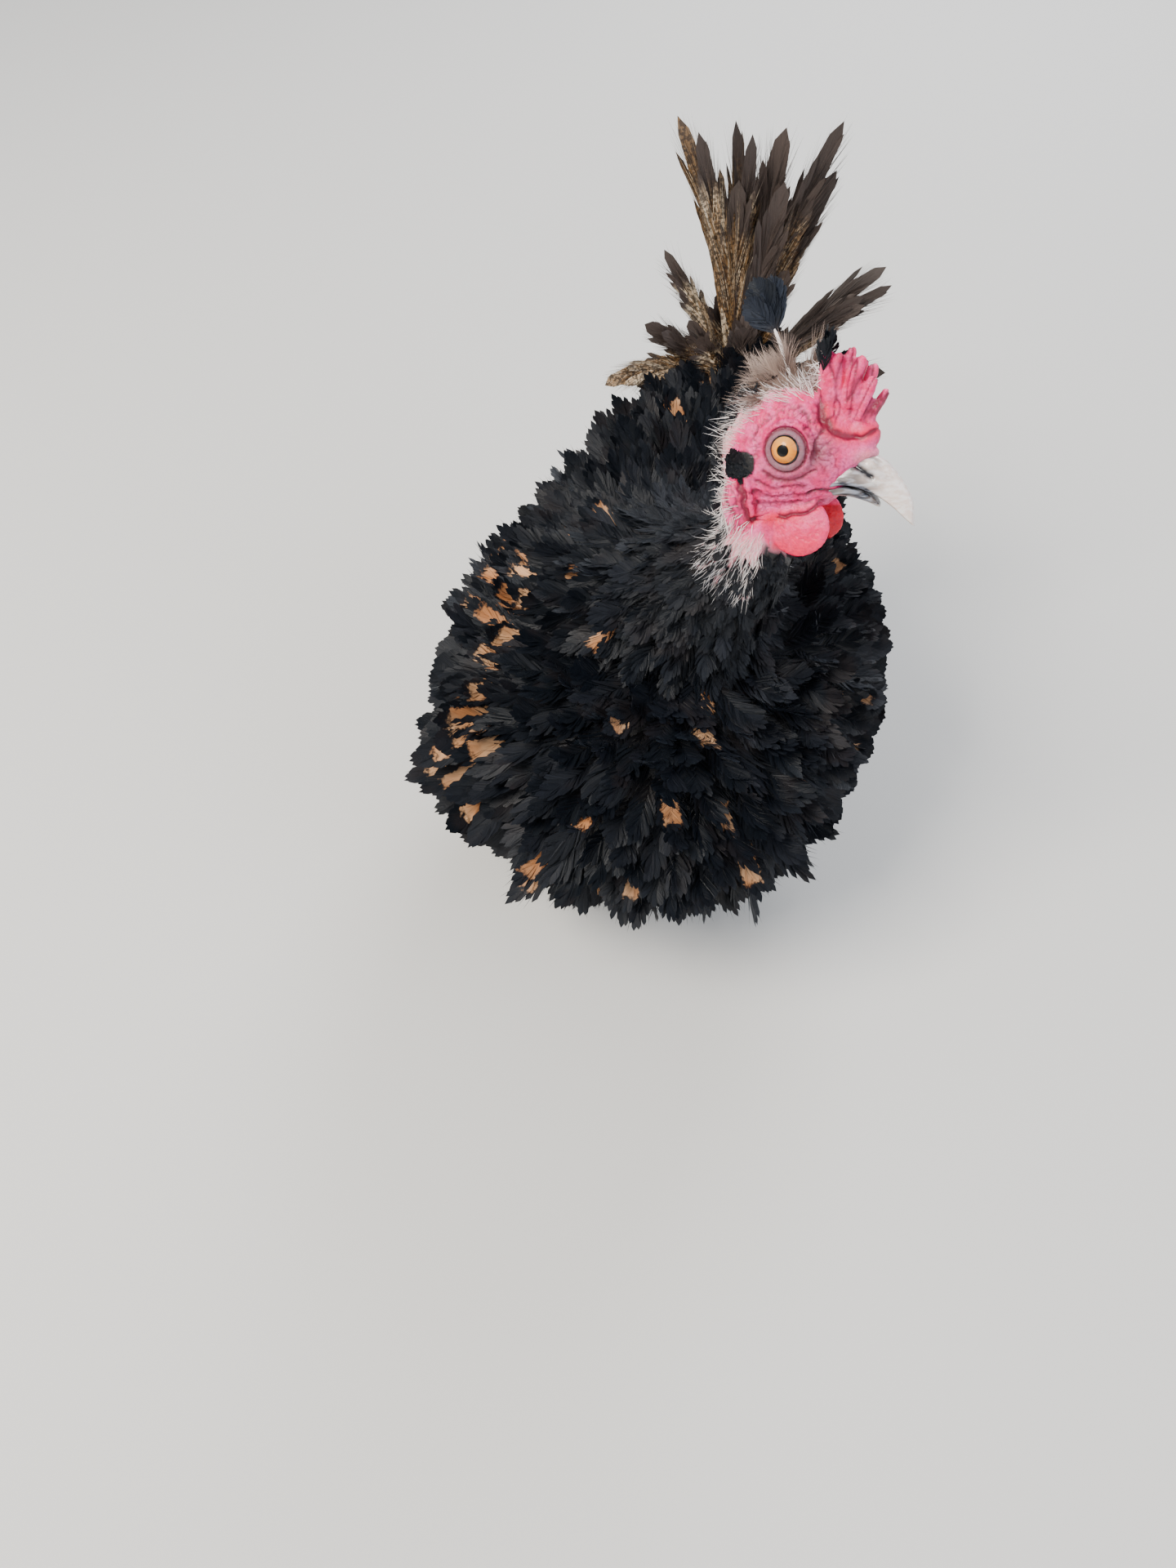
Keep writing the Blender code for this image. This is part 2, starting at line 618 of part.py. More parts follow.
def neck_frame(share, angle):
    """A point of the neck's surface, the outward direction and the lie, which runs down the neck."""
    x, y, z, radius = mixed_row(NECK_PATH, share)
    ahead = mixed_row(NECK_PATH, share + 0.02)
    up = (Vector(ahead[:3]) - Vector((x, y, z))).normalized()
    side = up.cross(Vector((0, 1, 0))).normalized()
    out = side * math.cos(angle) + side.cross(up) * math.sin(angle)
    return (Vector((x, y, z)) + out * radius) * MM, out, -up


def neck_vanes(scratch):
    """Hackle feathers down and round the neck, narrow near the head and wider towards the shoulders."""
    vanes = []
    for row, (share, count, length, width) in enumerate(NECK_ROWS):
        for k in range(count):
            angle = 2 * math.pi * (k + row % 2 / 2 + rng.uniform(-0.2, 0.2)) / count
            root, out, lie = neck_frame(share + rng.uniform(-0.012, 0.012), angle)
            lift, curl, bend = rng.uniform(*NECK_LIFT), rng.uniform(*NECK_CURL), rng.uniform(*NECK_BEND)
            size = rng.uniform(0.9, 1.1) * length * MM
            vanes.append(vane(scratch, root, lie, out, size, width * MM, lift, curl, bend, 4 * MM))
    return vanes


def build_neck(scratch, parts, materials):
    """The neck's core and hackles, from a plane on the torso to a plane under the head."""
    pieces = [neck_tube(scratch), *neck_vanes(scratch)]
    at, normal = neck_top_plane()
    cutters = [half_space(scratch, NECK_BASE_AT, -NECK_BASE_NORMAL, 0), half_space(scratch, at, normal)]
    cutters += [wattle_form(scratch, side, SHELL_GAP) for side in (1, -1)]
    cutters += [wing_zone(scratch, side, grow=GAP_MM) for side in (1, -1)]
    return fuse("neck", pieces, materials["feather"], parts, cutters)


def lid_ring(scratch, side):
    """The bare ring of skin round an eye."""
    bm = bmesh.new()
    loops = []
    for k in range(LID_STEPS):
        angle = 2 * math.pi * k / LID_STEPS
        c, s = math.cos(angle), math.sin(angle)
        loop = []
        for j in range(LID_SIDES):
            turn = 2 * math.pi * j / LID_SIDES
            radius = LID_RADIUS + LID_THICK * math.cos(turn)
            depth = EYE_SIDE + LID_OUT + LID_THICK * math.sin(turn)
            loop.append(bm.verts.new((c * radius, side * depth, s * radius)))
        loops.append(loop)
    for k in range(LID_STEPS):
        a, b = loops[k], loops[(k + 1) % LID_STEPS]
        for j in range(LID_SIDES):
            i = (j + 1) % LID_SIDES
            bm.faces.new((a[j], a[i], b[i], b[j]))
    bm.transform(HEAD_FRAME)
    return piece(bm, scratch)


def build_head(scratch, parts, materials):
    """The bare face with the lids and the throat, cut for the eyes, bills and neck."""
    pieces = [outline_loft(HEAD, HEAD_RINGS, HEAD_SIDES, scratch), throat(scratch)]
    pieces += [lid_ring(scratch, side) for side in (1, -1)]
    at, normal = neck_top_plane()
    cutters = [half_space(scratch, at, -normal, 0)]
    cutters.append(outline_loft(UPPER_BILL, UPPER_RINGS, BILL_SIDES, scratch, grow=SHELL_GAP))
    cutters.append(outline_loft(LOWER_BILL, LOWER_RINGS, BILL_SIDES, scratch, grow=SHELL_GAP))
    cutters += [eyeball(scratch, side, GAP_MM) for side in (1, -1)]
    return fuse("head", pieces, materials["face"], parts, cutters)


def eyeball(scratch, side, grow=0.0):
    radius = EYE_RADIUS / MM + grow
    turn = Matrix.Rotation(math.radians(90), 4, "X")
    return ellipsoid(scratch, (0, side * EYE_SIDE / MM, 0), (radius,) * 3, HEAD_FRAME, turn, 14, 8)


def build_bills(scratch, parts, materials):
    upper = outline_loft(UPPER_BILL, UPPER_RINGS, BILL_SIDES, scratch)
    cutters = [outline_loft(LOWER_BILL, LOWER_RINGS, BILL_SIDES, scratch, grow=SHELL_GAP)]
    x, y, z = NOSTRIL_AT
    turn = Matrix.Rotation(math.radians(NOSTRIL_LEAN), 4, "Y")
    for side in (1, -1):
        cutters.append(ellipsoid(scratch, (x, side * y, z), NOSTRIL_SIZE, HEAD_FRAME, turn, 8, 6))
    fuse("upper_bill", [upper], materials["horn"], parts, cutters)
    lower = outline_loft(LOWER_BILL, LOWER_RINGS, BILL_SIDES, scratch)
    fuse("lower_bill", [lower], materials["horn"], parts)


def build_comb(scratch, parts, materials):
    """The small comb: two lobes that open into rows of blunt points."""
    pieces = []
    for centre, size, lean in COMB_LOBES:
        turn = Matrix.Rotation(math.radians(lean), 4, "Y")
        pieces.append(ellipsoid(scratch, centre, size, HEAD_FRAME, turn, 10, 6))
    for base, middle, tip, radius in COMB_POINTS:
        path = [(*base, radius), (*middle, radius * 0.85), (*tip, radius * 0.5)]
        end = Vector(tip) + (Vector(tip) - Vector(middle)).normalized() * radius * 0.5
        pieces.append(tube(path, 6, scratch, frame=HEAD_FRAME, tip=end * MM))
    cutters = [outline_loft(HEAD, HEAD_RINGS, HEAD_SIDES, scratch, grow=SHELL_GAP)]
    cutters.append(outline_loft(UPPER_BILL, UPPER_RINGS, BILL_SIDES, scratch, grow=SHELL_GAP))
    fuse("comb", pieces, materials["comb"], parts, cutters)


def wattle_form(scratch, side, grow=0.0):
    x, y, z = WATTLE_AT
    tilt = Matrix.Rotation(math.radians(side * WATTLE_TILT), 4, "X")
    size = [v + grow for v in WATTLE_SIZE]
    return ellipsoid(scratch, (x, side * y, z), size, HEAD_FRAME, tilt, 12, 8)


def build_wattle(scratch, parts, materials, side, name):
    pieces = [wattle_form(scratch, side)]
    cutters = [outline_loft(HEAD, HEAD_RINGS, HEAD_SIDES, scratch, grow=SHELL_GAP)]
    cutters.append(outline_loft(LOWER_BILL, LOWER_RINGS, BILL_SIDES, scratch, grow=SHELL_GAP))
    cutters.append(throat(scratch, SHELL_GAP))
    fuse("wattle_" + name, pieces, materials["comb"], parts, cutters)


def build_ear(scratch, parts, materials, side, name):
    """The pale earlobe and the dark tuft over the ear's opening."""
    x, y, z = EARLOBE_AT
    lobe = ellipsoid(scratch, (x, side * y, z), EARLOBE_SIZE, HEAD_FRAME, segments=10, rings=7)
    cutters = [outline_loft(HEAD, HEAD_RINGS, HEAD_SIDES, scratch, grow=SHELL_GAP)]
    cutters.append(throat(scratch, SHELL_GAP))
    fuse("earlobe_" + name, [lobe], materials["lobe"], parts, cutters)
    x, y, z = EAR_TUFT_AT
    tuft = [ellipsoid(scratch, (x, side * y, z), EAR_PAD_SIZE, HEAD_FRAME, segments=8, rings=5)]
    for ahead, height in EAR_VANES:
        root = head_point(x + ahead, side * (y + 1.2), z + height)
        lie, out = head_direction((-1, 0, height * 0.12)), head_direction((-0.2, side, 0))
        tuft.append(vane(scratch, root, lie, out, *EAR_VANE))
    cutters = [outline_loft(HEAD, HEAD_RINGS, HEAD_SIDES, scratch, grow=SHELL_GAP)]
    fuse("ear_tuft_" + name, tuft, materials["feather"], parts, cutters)


def build_crest(scratch, parts, materials):
    """What is left of the crest: short locks on the crown and one long quill with its dark vane."""
    pieces = [ellipsoid(scratch, CREST_PAD_AT, CREST_PAD_SIZE, HEAD_FRAME, segments=9, rings=5)]
    for x, y, lean, length, width in CREST_LOCKS:
        back = math.radians(lean)
        lie, out = head_direction((-math.sin(back), y * 0.05, math.cos(back))), head_direction((0, -1, 0))
        root = head_point(x, y, CREST_ROOT_Z - abs(y) * 0.4)
        lift, curl, bend = rng.uniform(-6, 6), rng.uniform(-8, 20), rng.uniform(-20, 20)
        size = (length * MM, width * MM)
        pieces.append(vane(scratch, root, lie, out, *size, lift, curl, bend, LOCK_SUNK, LOCK_THICK))
    pieces.append(tube(QUILL, 6, scratch, frame=HEAD_FRAME))
    top, low = Vector(QUILL[-1][:3]), Vector(QUILL[0][:3])
    lie = head_direction(top - low + Vector((8, 0, 0)))
    pieces.append(vane(scratch, HEAD_FRAME @ (top * MM), lie, head_direction((0, -1, 0)), *QUILL_VANE))
    cutters = [outline_loft(HEAD, HEAD_RINGS, HEAD_SIDES, scratch, grow=SHELL_GAP), comb_room(scratch)]
    fuse("crest", pieces, materials["crest"], parts, cutters)


def comb_room(scratch):
    """The block of space ahead of the crest that the comb stands in."""
    x, y, z = COMB_ROOM_AT
    dx, dy, dz = COMB_ROOM_SIZE
    return box(scratch, (x + dx / 2, y, z + dz / 2 - CREST_PAD_SIZE[2]), (dx, dy, dz), HEAD_FRAME)


def build_eye(scratch, parts, materials, side, name):
    fuse("eye_" + name, [eyeball(scratch, side)], materials["eye"], parts)


def wing_vanes(scratch, side):
    """Coverts and flight feathers in tiers over the wing's outer face, curled outwards."""
    turn = Matrix.Rotation(math.radians(WING_PITCH[side]), 4, "X")
    a, b, c = WING_SIZE
    vanes = []
    for height, count, length, width, curl in WING_ROWS:
        for k in range(count):
            along = (k + 0.5) / count * 1.5 - 0.8 + rng.uniform(-0.04, 0.04)
            face = math.sqrt(max(1 - along**2 * 0.8 - height**2, 0.05))
            reach = Vector((side * face, along * 0.9, height))
            out = (turn @ Vector((reach.x / a, reach.y / b, reach.z / c))).normalized()
            root = (Vector(WING_AT[side]) + turn @ Vector((reach.x * a, reach.y * b, reach.z * c))) * MM
            lie = turn @ Vector((0, math.cos(WING_LIE), math.sin(WING_LIE)))
            size = length * rng.uniform(0.92, 1.08) * MM
            lift = rng.uniform(*WING_LIFT[side])
            curled = curl * rng.uniform(0.8, 1.2)
            bend = side * rng.uniform(*WING_BEND)
            vanes.append(vane(scratch, root, lie, out, size, width * MM, lift, curled, bend))
    return vanes


def build_wing(scratch, parts, materials, side, name):
    """The folded wing: a plate against the torso's side with its tiers of feathers."""
    turn = Matrix.Rotation(math.radians(WING_PITCH[side]), 4, "X")
    pieces = [ellipsoid(scratch, WING_AT[side], WING_SIZE, Matrix(), turn), *wing_vanes(scratch, side)]
    fuse("wing_" + name, pieces, materials["feather"], parts, within=wing_zone(scratch, side))


def tail_vanes(scratch):
    """The tail's feathers, fanned out from the stump. Their tips bend away from the middle."""
    up, left = tail_axis(), Vector((1, 0, 0))
    front = left.cross(up)
    vanes = []
    for fan, depth, length, width, bend in TAIL_FEATHERS:
        turn = math.radians(fan)
        lie = up * math.cos(turn) + left * math.sin(turn)
        root = TAIL_AT + lie * TAIL_ROOT - front * depth * 0.35 * MM
        lie = (lie - front * math.sin(math.radians(depth))).normalized()
        reach = (length - TAIL_ROOT / MM) * MM
        vanes.append(vane(scratch, root, lie, front, reach, width * MM, rng.uniform(-4, 4),
                          rng.uniform(-6, 14), -bend, 8 * MM))
    return vanes


def build_tail(scratch, parts, materials):
    """The rump's stump and the tall, worn tail."""
    turn = Matrix.Rotation(math.radians(TAIL_RAISE - 90), 4, "X")
    centre = TAIL_AT / MM + tail_axis() * 6
    pieces = [ellipsoid(scratch, centre, TAIL_STUMP, Matrix(), turn), *tail_vanes(scratch)]
    fuse("tail", pieces, materials["tail"], parts, [half_space(scratch, TAIL_AT, -tail_axis(), 0)])


def build_leg(scratch, parts, materials, side, name):
    """Thigh, shank and foot of one leg."""
    room = leg_zone(scratch, side)
    apply_boolean(room, "UNION", [thigh_core(scratch, side, grow=0.1)], "MANIFOLD")
    thigh = [thigh_core(scratch, side), *thigh_vanes(scratch, side)]
    fuse("thigh_" + name, thigh, materials["feather"], parts, within=room)
    hock = Vector((side * HOCK.x, HOCK.y, HOCK.z))
    ankle = Vector((side * ANKLE.x, ANKLE.y, ANKLE.z))
    rows = [(*(hock.lerp(ankle, s) / MM), SHANK_R / MM) for s in (-0.25, 0.3, 0.7, 1.0)]
    cutter = thigh_core(scratch, side, grow=GAP_MM)
    fuse("shank_" + name, [tube(rows, SHANK_SIDES, scratch)], materials["leg"], parts, [cutter])
    foot = build_foot(scratch, side, ankle)
    cutter = tube([(x, y, z, r + GAP_MM) for x, y, z, r in rows], SHANK_SIDES, scratch)
    fuse("foot_" + name, foot, materials["leg"], parts, [cutter])


def build_foot(scratch, side, ankle):
    """The foot's pad and its four toes with claws, flat underneath."""
    x, y = ankle.x / MM, ankle.y / MM
    rows = [(x, y + ahead, radius * SOLE_LIFT, radius) for ahead, radius in PAD_ROWS]
    pieces = [tube(rows, TOE_SIDES, scratch, floor=True)]
    for degrees, length in TOES:
        turn = math.radians(degrees * side)
        ahead = Vector((math.sin(turn), -math.cos(turn), 0))
        path = []
        for share, size in TOE_ROWS:
            at = Vector((x, y, 0)) + ahead * length * share
            path.append((at.x, at.y, size * TOE_R * SOLE_LIFT, size * TOE_R))
        end = Vector((x, y, CLAW_TIP_Z)) + ahead * (length + CLAW_LENGTH)
        pieces.append(tube(path, TOE_SIDES, scratch, tip=end * MM, floor=True))
    return pieces


def centre_on_floor(parts):
    """Moves the whole bird so that its box stands centred on the origin."""
    corners = [vert.co for obj in parts.objects for vert in obj.data.vertices]
    low = Vector([min(c[i] for c in corners) for i in range(3)])
    high = Vector([max(c[i] for c in corners) for i in range(3)])
    shift = Matrix.Translation((-(low.x + high.x) / 2, -(low.y + high.y) / 2, -low.z))
    for obj in parts.objects:
        obj.data.transform(shift)


def build_hen():
    clear_scene()
    parts = make_collection("frizzle_hen")
    scratch = make_collection("scratch")
    materials = {name: make_material(name) for name in COLOURS}
    build_torso(scratch, parts, materials)
    build_neck(scratch, parts, materials)
    build_head(scratch, parts, materials)
    build_bills(scratch, parts, materials)
    build_comb(scratch, parts, materials)
    build_crest(scratch, parts, materials)
    build_tail(scratch, parts, materials)
    for side, name in ((1, "left"), (-1, "right")):
        build_wattle(scratch, parts, materials, side, name)
        build_ear(scratch, parts, materials, side, name)
        build_eye(scratch, parts, materials, side, name)
        build_wing(scratch, parts, materials, side, name)
        build_leg(scratch, parts, materials, side, name)
    centre_on_floor(parts)
    bpy.data.collections.remove(scratch)


build_hen()
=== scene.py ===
"""A frizzle-feathered crested hen, life size: bare red face, black coat with tan centres, worn tail.

The bird faces -Y and +X is its own left. Sizes are in metres, or in millimetres where a comment says so.
The head has its own frame: +X along the bill, +Y to the bird's left, +Z up, from the point between the eyes.
"""

import json
import math

import bmesh
import bpy
import numpy as np
from mathutils import Euler, Matrix, Vector, noise

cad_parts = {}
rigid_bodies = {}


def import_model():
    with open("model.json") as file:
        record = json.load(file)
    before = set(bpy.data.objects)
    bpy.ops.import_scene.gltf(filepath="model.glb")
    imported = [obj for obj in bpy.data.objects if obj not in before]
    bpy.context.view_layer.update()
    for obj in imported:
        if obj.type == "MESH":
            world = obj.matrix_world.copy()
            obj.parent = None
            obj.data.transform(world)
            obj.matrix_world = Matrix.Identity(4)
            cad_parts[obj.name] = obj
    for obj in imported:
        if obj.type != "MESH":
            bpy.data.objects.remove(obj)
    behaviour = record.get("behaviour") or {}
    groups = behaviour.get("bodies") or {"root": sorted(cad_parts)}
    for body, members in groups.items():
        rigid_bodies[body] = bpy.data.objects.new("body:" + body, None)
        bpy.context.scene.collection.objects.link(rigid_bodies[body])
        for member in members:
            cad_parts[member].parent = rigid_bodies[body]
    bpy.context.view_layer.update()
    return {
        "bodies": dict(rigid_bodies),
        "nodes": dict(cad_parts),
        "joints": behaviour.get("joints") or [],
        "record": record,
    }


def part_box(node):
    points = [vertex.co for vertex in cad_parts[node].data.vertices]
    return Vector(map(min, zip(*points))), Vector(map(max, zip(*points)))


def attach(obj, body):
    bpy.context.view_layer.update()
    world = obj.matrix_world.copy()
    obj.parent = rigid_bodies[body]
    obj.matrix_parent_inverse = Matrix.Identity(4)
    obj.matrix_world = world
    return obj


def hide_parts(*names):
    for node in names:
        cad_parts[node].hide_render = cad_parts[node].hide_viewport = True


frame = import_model()

MM = 0.001
SEED = 5
# A feather piece holds fewer triangles than this, and each feather has a patch of this size on the unwrap.
PIECE_TRIANGLES = 195000
PATCH = 0.003
SIDES = ((1, "left"), (-1, "right"))

# The head's pose: the point between the eyes in millimetres, and its roll, raise and turn in degrees.
HEAD_AT = Vector((32, -28, 259))
HEAD_ROLL, HEAD_RAISE, HEAD_TURN = -23.0, 15.6, -15.5
EYE_SIDE, EYE_RADIUS = 10.9, 7.2

# Outlines in millimetres. Torso: y, lowest z, highest z, half width, sideways shift.
TORSO = [
    (-100, 98, 112, 6, -8),
    (-94, 76, 134, 27, -8),
    (-78, 62, 152, 45, -8),
    (-54, 54, 165, 57, -8),
    (-26, 50, 175, 63, -8),
    (4, 50, 181, 65, -6),
    (34, 56, 182, 63, -3),
    (62, 68, 182, 56, 0),
    (86, 88, 183, 45, 4),
    (104, 114, 187, 31, 7),
    (116, 142, 188, 17, 9),
    (120, 160, 178, 5, 10),
]
# Neck: x, y, z and radius along its middle.
NECK = [
    (-4, 6, 118, 48),
    (-6, -6, 148, 44),
    (-4, -19, 174, 36),
    (6, -32, 196, 26.5),
    (17, -39, 212, 19.5),
    (24, -39, 227, 14.5),
    (27, -32, 246, 9),
]
# Head and bills, in the head's frame: x, lowest z, highest z, half width.
HEAD = [
    (-27.0, -8.0, 0.0, 3.0),
    (-24.5, -19.0, 9.0, 9.5),
    (-18.5, -25.5, 15.0, 13.5),
    (-11.0, -27.0, 18.5, 15.0),
    (-2.0, -25.5, 19.8, 15.0),
    (6.0, -23.0, 18.5, 14.0),
    (13.0, -20.5, 13.5, 12.2),
    (18.5, -13.5, 7.5, 9.4),
    (22.5, -8.6, 3.0, 7.4),
    (26.0, -5.8, -1.0, 5.0),
    (28.4, -4.8, -3.0, 2.0),
]
UPPER_BILL = [
    (7.5, -16.6, -15.8, 8.6),
    (11.0, -15.4, -11.5, 8.9),
    (16.5, -14.2, -7.0, 8.6),
    (21.0, -14.6, -4.2, 7.7),
    (25.5, -16.2, -3.9, 6.8),
    (30.0, -18.6, -5.6, 5.8),
    (34.4, -21.9, -9.6, 4.5),
    (38.2, -25.6, -14.8, 3.2),
    (40.6, -27.8, -19.6, 2.0),
    (41.3, -28.5, -24.5, 0.9),
]
LOWER_BILL = [
    (8.0, -18.4, -16.2, 8.2),
    (12.0, -18.4, -15.0, 7.6),
    (16.5, -18.2, -14.4, 6.7),
    (20.5, -18.8, -14.8, 5.7),
    (24.5, -20.0, -16.2, 4.6),
    (26.8, -21.0, -17.8, 3.4),
    (28.4, -21.8, -19.4, 2.3),
    (29.4, -22.2, -20.8, 1.1),
]
# Comb: centre, half sizes and lean of each lobe; base, middle, tip and radius of each blunt point.
COMB_LOBES = [((17.0, 0.0, 10.2), (8.6, 4.8, 8.8), -4.0), ((22.6, 0.0, 2.4), (6.6, 5.2, 6.4), 22.0)]
COMB_POINTS = [
    ((12.0, -1.8, 13.0), (11.6, -3.6, 22.0), (12.8, -4.4, 27.4), 3.5),
    ((14.6, -3.4, 14.0), (15.2, -5.0, 22.5), (16.4, -5.6, 28.0), 2.3),
    ((16.5, -0.5, 14.0), (17.8, -1.8, 24.0), (19.4, -2.6, 29.4), 2.3),
    ((19.4, -2.4, 12.0), (21.2, -3.8, 21.0), (23.0, -4.2, 26.0), 3.0),
    ((21.6, 1.2, 11.0), (24.4, 1.2, 18.6), (25.8, 1.2, 23.4), 2.6),
    ((22.0, -2.0, 8.0), (24.8, -2.6, 15.0), (26.6, -2.8, 19.8), 2.4),
    ((23.0, -0.4, 5.0), (27.4, -0.6, 11.2), (30.6, -0.8, 15.6), 2.2),
    ((13.0, 2.6, 14.0), (13.6, 4.6, 21.0), (15.0, 5.6, 25.6), 3.0),
    ((18.0, 2.6, 13.0), (19.5, 4.4, 20.0), (21.4, 5.2, 24.6), 2.8),
    ((9.4, 0.4, 13.0), (8.8, 0.6, 18.6), (9.2, 0.8, 22.0), 2.3),
]
WATTLE_AT, WATTLE_SIZE, WATTLE_TILT = (3.4, 9.0, -27.8), (11.0, 2.2, 10.4), 10
EARLOBE_AT, EARLOBE_SIZE = (-18.4, 12.8, -19.2), (5.6, 4.3, 9.9)
# The earlobe's raised front rim: places down it, and its radius.
LOBE_RIM = [(-14.6, 14.2, -9.5), (-12.8, 14.8, -16.0), (-12.6, 14.2, -22.0), (-14.2, 12.8, -27.0)]
LOBE_RIM_RADIUS = 1.45
# The ring of the eyelid and the swelling round it: place, radius and thickness. The ball sits forward.
LID_AT, LID_RADIUS, LID_THICK = (0.5, 15.1, -0.4), 5.7, 1.2
SOCKET_AT, SOCKET_RADIUS, SOCKET_THICK = (0.8, 13.4, 0.0), 8.0, 1.9
EYE_FORWARD, CORNEA_BULGE = 0.6, 0.55
EAR_TUFT_AT, EAR_TUFT_REACH, EAR_BRISTLES = (-15.0, 13.6, -5.2), 4.6, 170
# The nostril seen from the side: its slit and the pale flap over it, x and z in the head's frame.
NOSTRIL_SLIT, NOSTRIL_FLAP = [(21.9, -6.9), (24.9, -8.8), (27.8, -10.8)], (26.4, -6.6)
# The face's creases seen from the side, in the head's frame: x and z, then depth and width in millimetres.
JAW_CREASE = [(-12.3, -24.6), (-5, -24.6), (6.8, -21.6), (16.6, -18.1)]
LOBE_CREASE = [(-16.8, -10.0), (-14.8, -16.2), (-12.9, -25.4)]
CREASES = [
    (JAW_CREASE, 0.95, 0.75),
    ([(10.5, 14.3), (11.9, 7.8), (10.8, 1.1), (9.9, -4.0)], 0.65, 0.7),
    ([(-7.9, -7.3), (-3.3, -10.3), (3.9, -10.8), (9.5, -7.4)], 0.6, 0.65),
    ([(-10.8, -11.3), (-3.4, -13.5), (6.8, -12.8)], 0.42, 0.6),
    ([(-12.3, -14.7), (-3.4, -16.8), (11.1, -15.5)], 0.42, 0.6),
    ([(-11.0, -18.6), (-2.0, -20.0), (7.5, -18.2)], 0.38, 0.6),
    (LOBE_CREASE, 0.8, 0.8),
    ([(-21.5, -13.0), (-20.6, -18.5), (-18.0, -23.0)], 0.4, 0.7),
    ([(3.5, 12.5), (7.5, 9.0), (8.6, 4.0)], 0.4, 0.6),
    ([(-6.0, 10.6), (-9.6, 7.0), (-11.2, 2.0)], 0.3, 0.6),
    ([(7.0, -16.0), (12.2, -15.0), (17.9, -15.3)], 0.8, 0.7),
]
COMB_CREASE = [(10.6, 11.7), (11.8, 8.5), (14.6, 5.2), (18.3, 3.2), (23.9, 2.4), (28.0, 4.0)]

WING_AT, WING_SIZE = {1: (40, 6, 116), -1: (-55, 0, 104)}, (30, 64, 46)
WING_PITCH = {1: -6.0, -1: -10.0}
# The wings' longer feathers point back and down by the drop in degrees, and are shorter on the left wing.
WING_DROP, LEFT_WING_SHARE = -30, 0.78
# Their tiers: height as a share, how many, length and width in millimetres.
WING_TIERS = [(0.30, 8, 38, 15), (-0.1, 9, 42, 16), (-0.45, 9, 46, 16), (-0.75, 9, 48, 15)]
TAIL_AT, TAIL_RAISE, TAIL_ROOT, RUMP_SIZE = Vector((11, 116, 176)), 68.0, 14, (16, 12, 22)
TAIL_SUNK = 8
# Tail feathers: angle from upright to the bird's left, set forward or back, length, width, bend, gold.
TAIL_FEATHERS = [
    (-7, 2, 127, 22, -22, 0.9),
    (-8, -6, 120, 20, -10, 0.7),
    (-3, 6, 122, 20, -6, 0.8),
    (-2, -4, 117, 22, 2, 0.6),
    (2, 4, 119, 25, 6, 0.05),
    (4, -6, 98, 24, 8, 0.0),
    (6, 2, 100, 22, 16, 0.1),
    (7, -3, 128, 20, 16, 0.35),
    (13, 6, 78, 24, 6, 0.7),
    (34, -5, 90, 18, 20, 0.1),
    (40, 4, 88, 18, 18, 0.35),
    (62, 4, 74, 20, 26, 0.1),
    (58, 14, 56, 20, 20, 0.1),
    (-23, 6, 78, 20, -14, 0.55),
    (-12, 12, 54, 22, 0, 0.4),
    (-42, 6, 58, 20, -26, 0.4),
    (-52, -4, 70, 24, -70, 1.0),
    (-54, 0, 50, 20, -36, 0.8),
    (-62, 4, 54, 22, -44, 0.3),
    (-26, -20, 44, 20, -12, 0.5),
    (2, -24, 44, 22, 0, 0.2),
    (30, -20, 44, 20, 12, 0.3),
    (0, 40, 48, 22, 0, 0.4),
    (34, 34, 46, 22, 16, 0.4),
]

THIGH_TOP, HOCK, ANKLE = Vector((28, 2, 88)), Vector((27, 17, 49)), Vector((29, 3, 11))
THIGH_TOP_R, THIGH_LOW_R, SHANK_R = 19, 8.5, 4.1
# Toes: angle from straight ahead to the outer side in degrees, and length.
TOES = [(-22, 40), (0, 45), (22, 37), (172, 20)]
TOE_R, CLAW_LENGTH, SOLE_LIFT = 3.4, 8.5, 0.78
# Swellings along the shank and a toe, as shares of length and radius. Pad: place ahead and radius.
SHANK_SHAPE = [(-0.25, 1.15), (0.1, 1.1), (0.5, 0.95), (0.85, 1.0), (1.02, 1.15)]
TOE_SHAPE = [(0.0, 1.15), (0.2, 1.0), (0.34, 1.08), (0.5, 0.9), (0.64, 0.98), (0.8, 0.8), (0.92, 0.84),
             (1.0, 0.55)]
PAD_SHAPE = [(7, 4.0), (2, 6.0), (-4, 6.0), (-9, 4.4)]
SHANK_SCUTE, TOE_SCUTE = 2.6, 2.3
# The long crest quill, bare from its foot to the vane at its top, and its radius at shares of its length.
QUILL_FOOT, QUILL_TOP = Vector((-1.0, -1.0, 17.0)), Vector((-7.4, -1.4, 37.4))
QUILL_SHAPE = [(0.0, 0.66), (0.25, 0.66), (0.5, 0.64), (0.75, 0.6), (0.95, 0.56), (0.99, 0.42), (1.0, 0.2)]
# The vane's three lobes: lean from the quill's way, length, width. Sprigs behind the comb: foot first.
QUILL_VANES = [((0.34, 0, 0), 20, 9), ((0.05, 0.1, 0), 21, 11), ((-0.3, 0.1, -0.1), 17, 9)]
COMB_SPRIGS = [((8.0, 5.0, 23.0), (1.0, 0.1, 0.5), 12, 3), ((9.0, 5.5, 21.0), (1.0, 0.1, 0.16), 13, 3)]

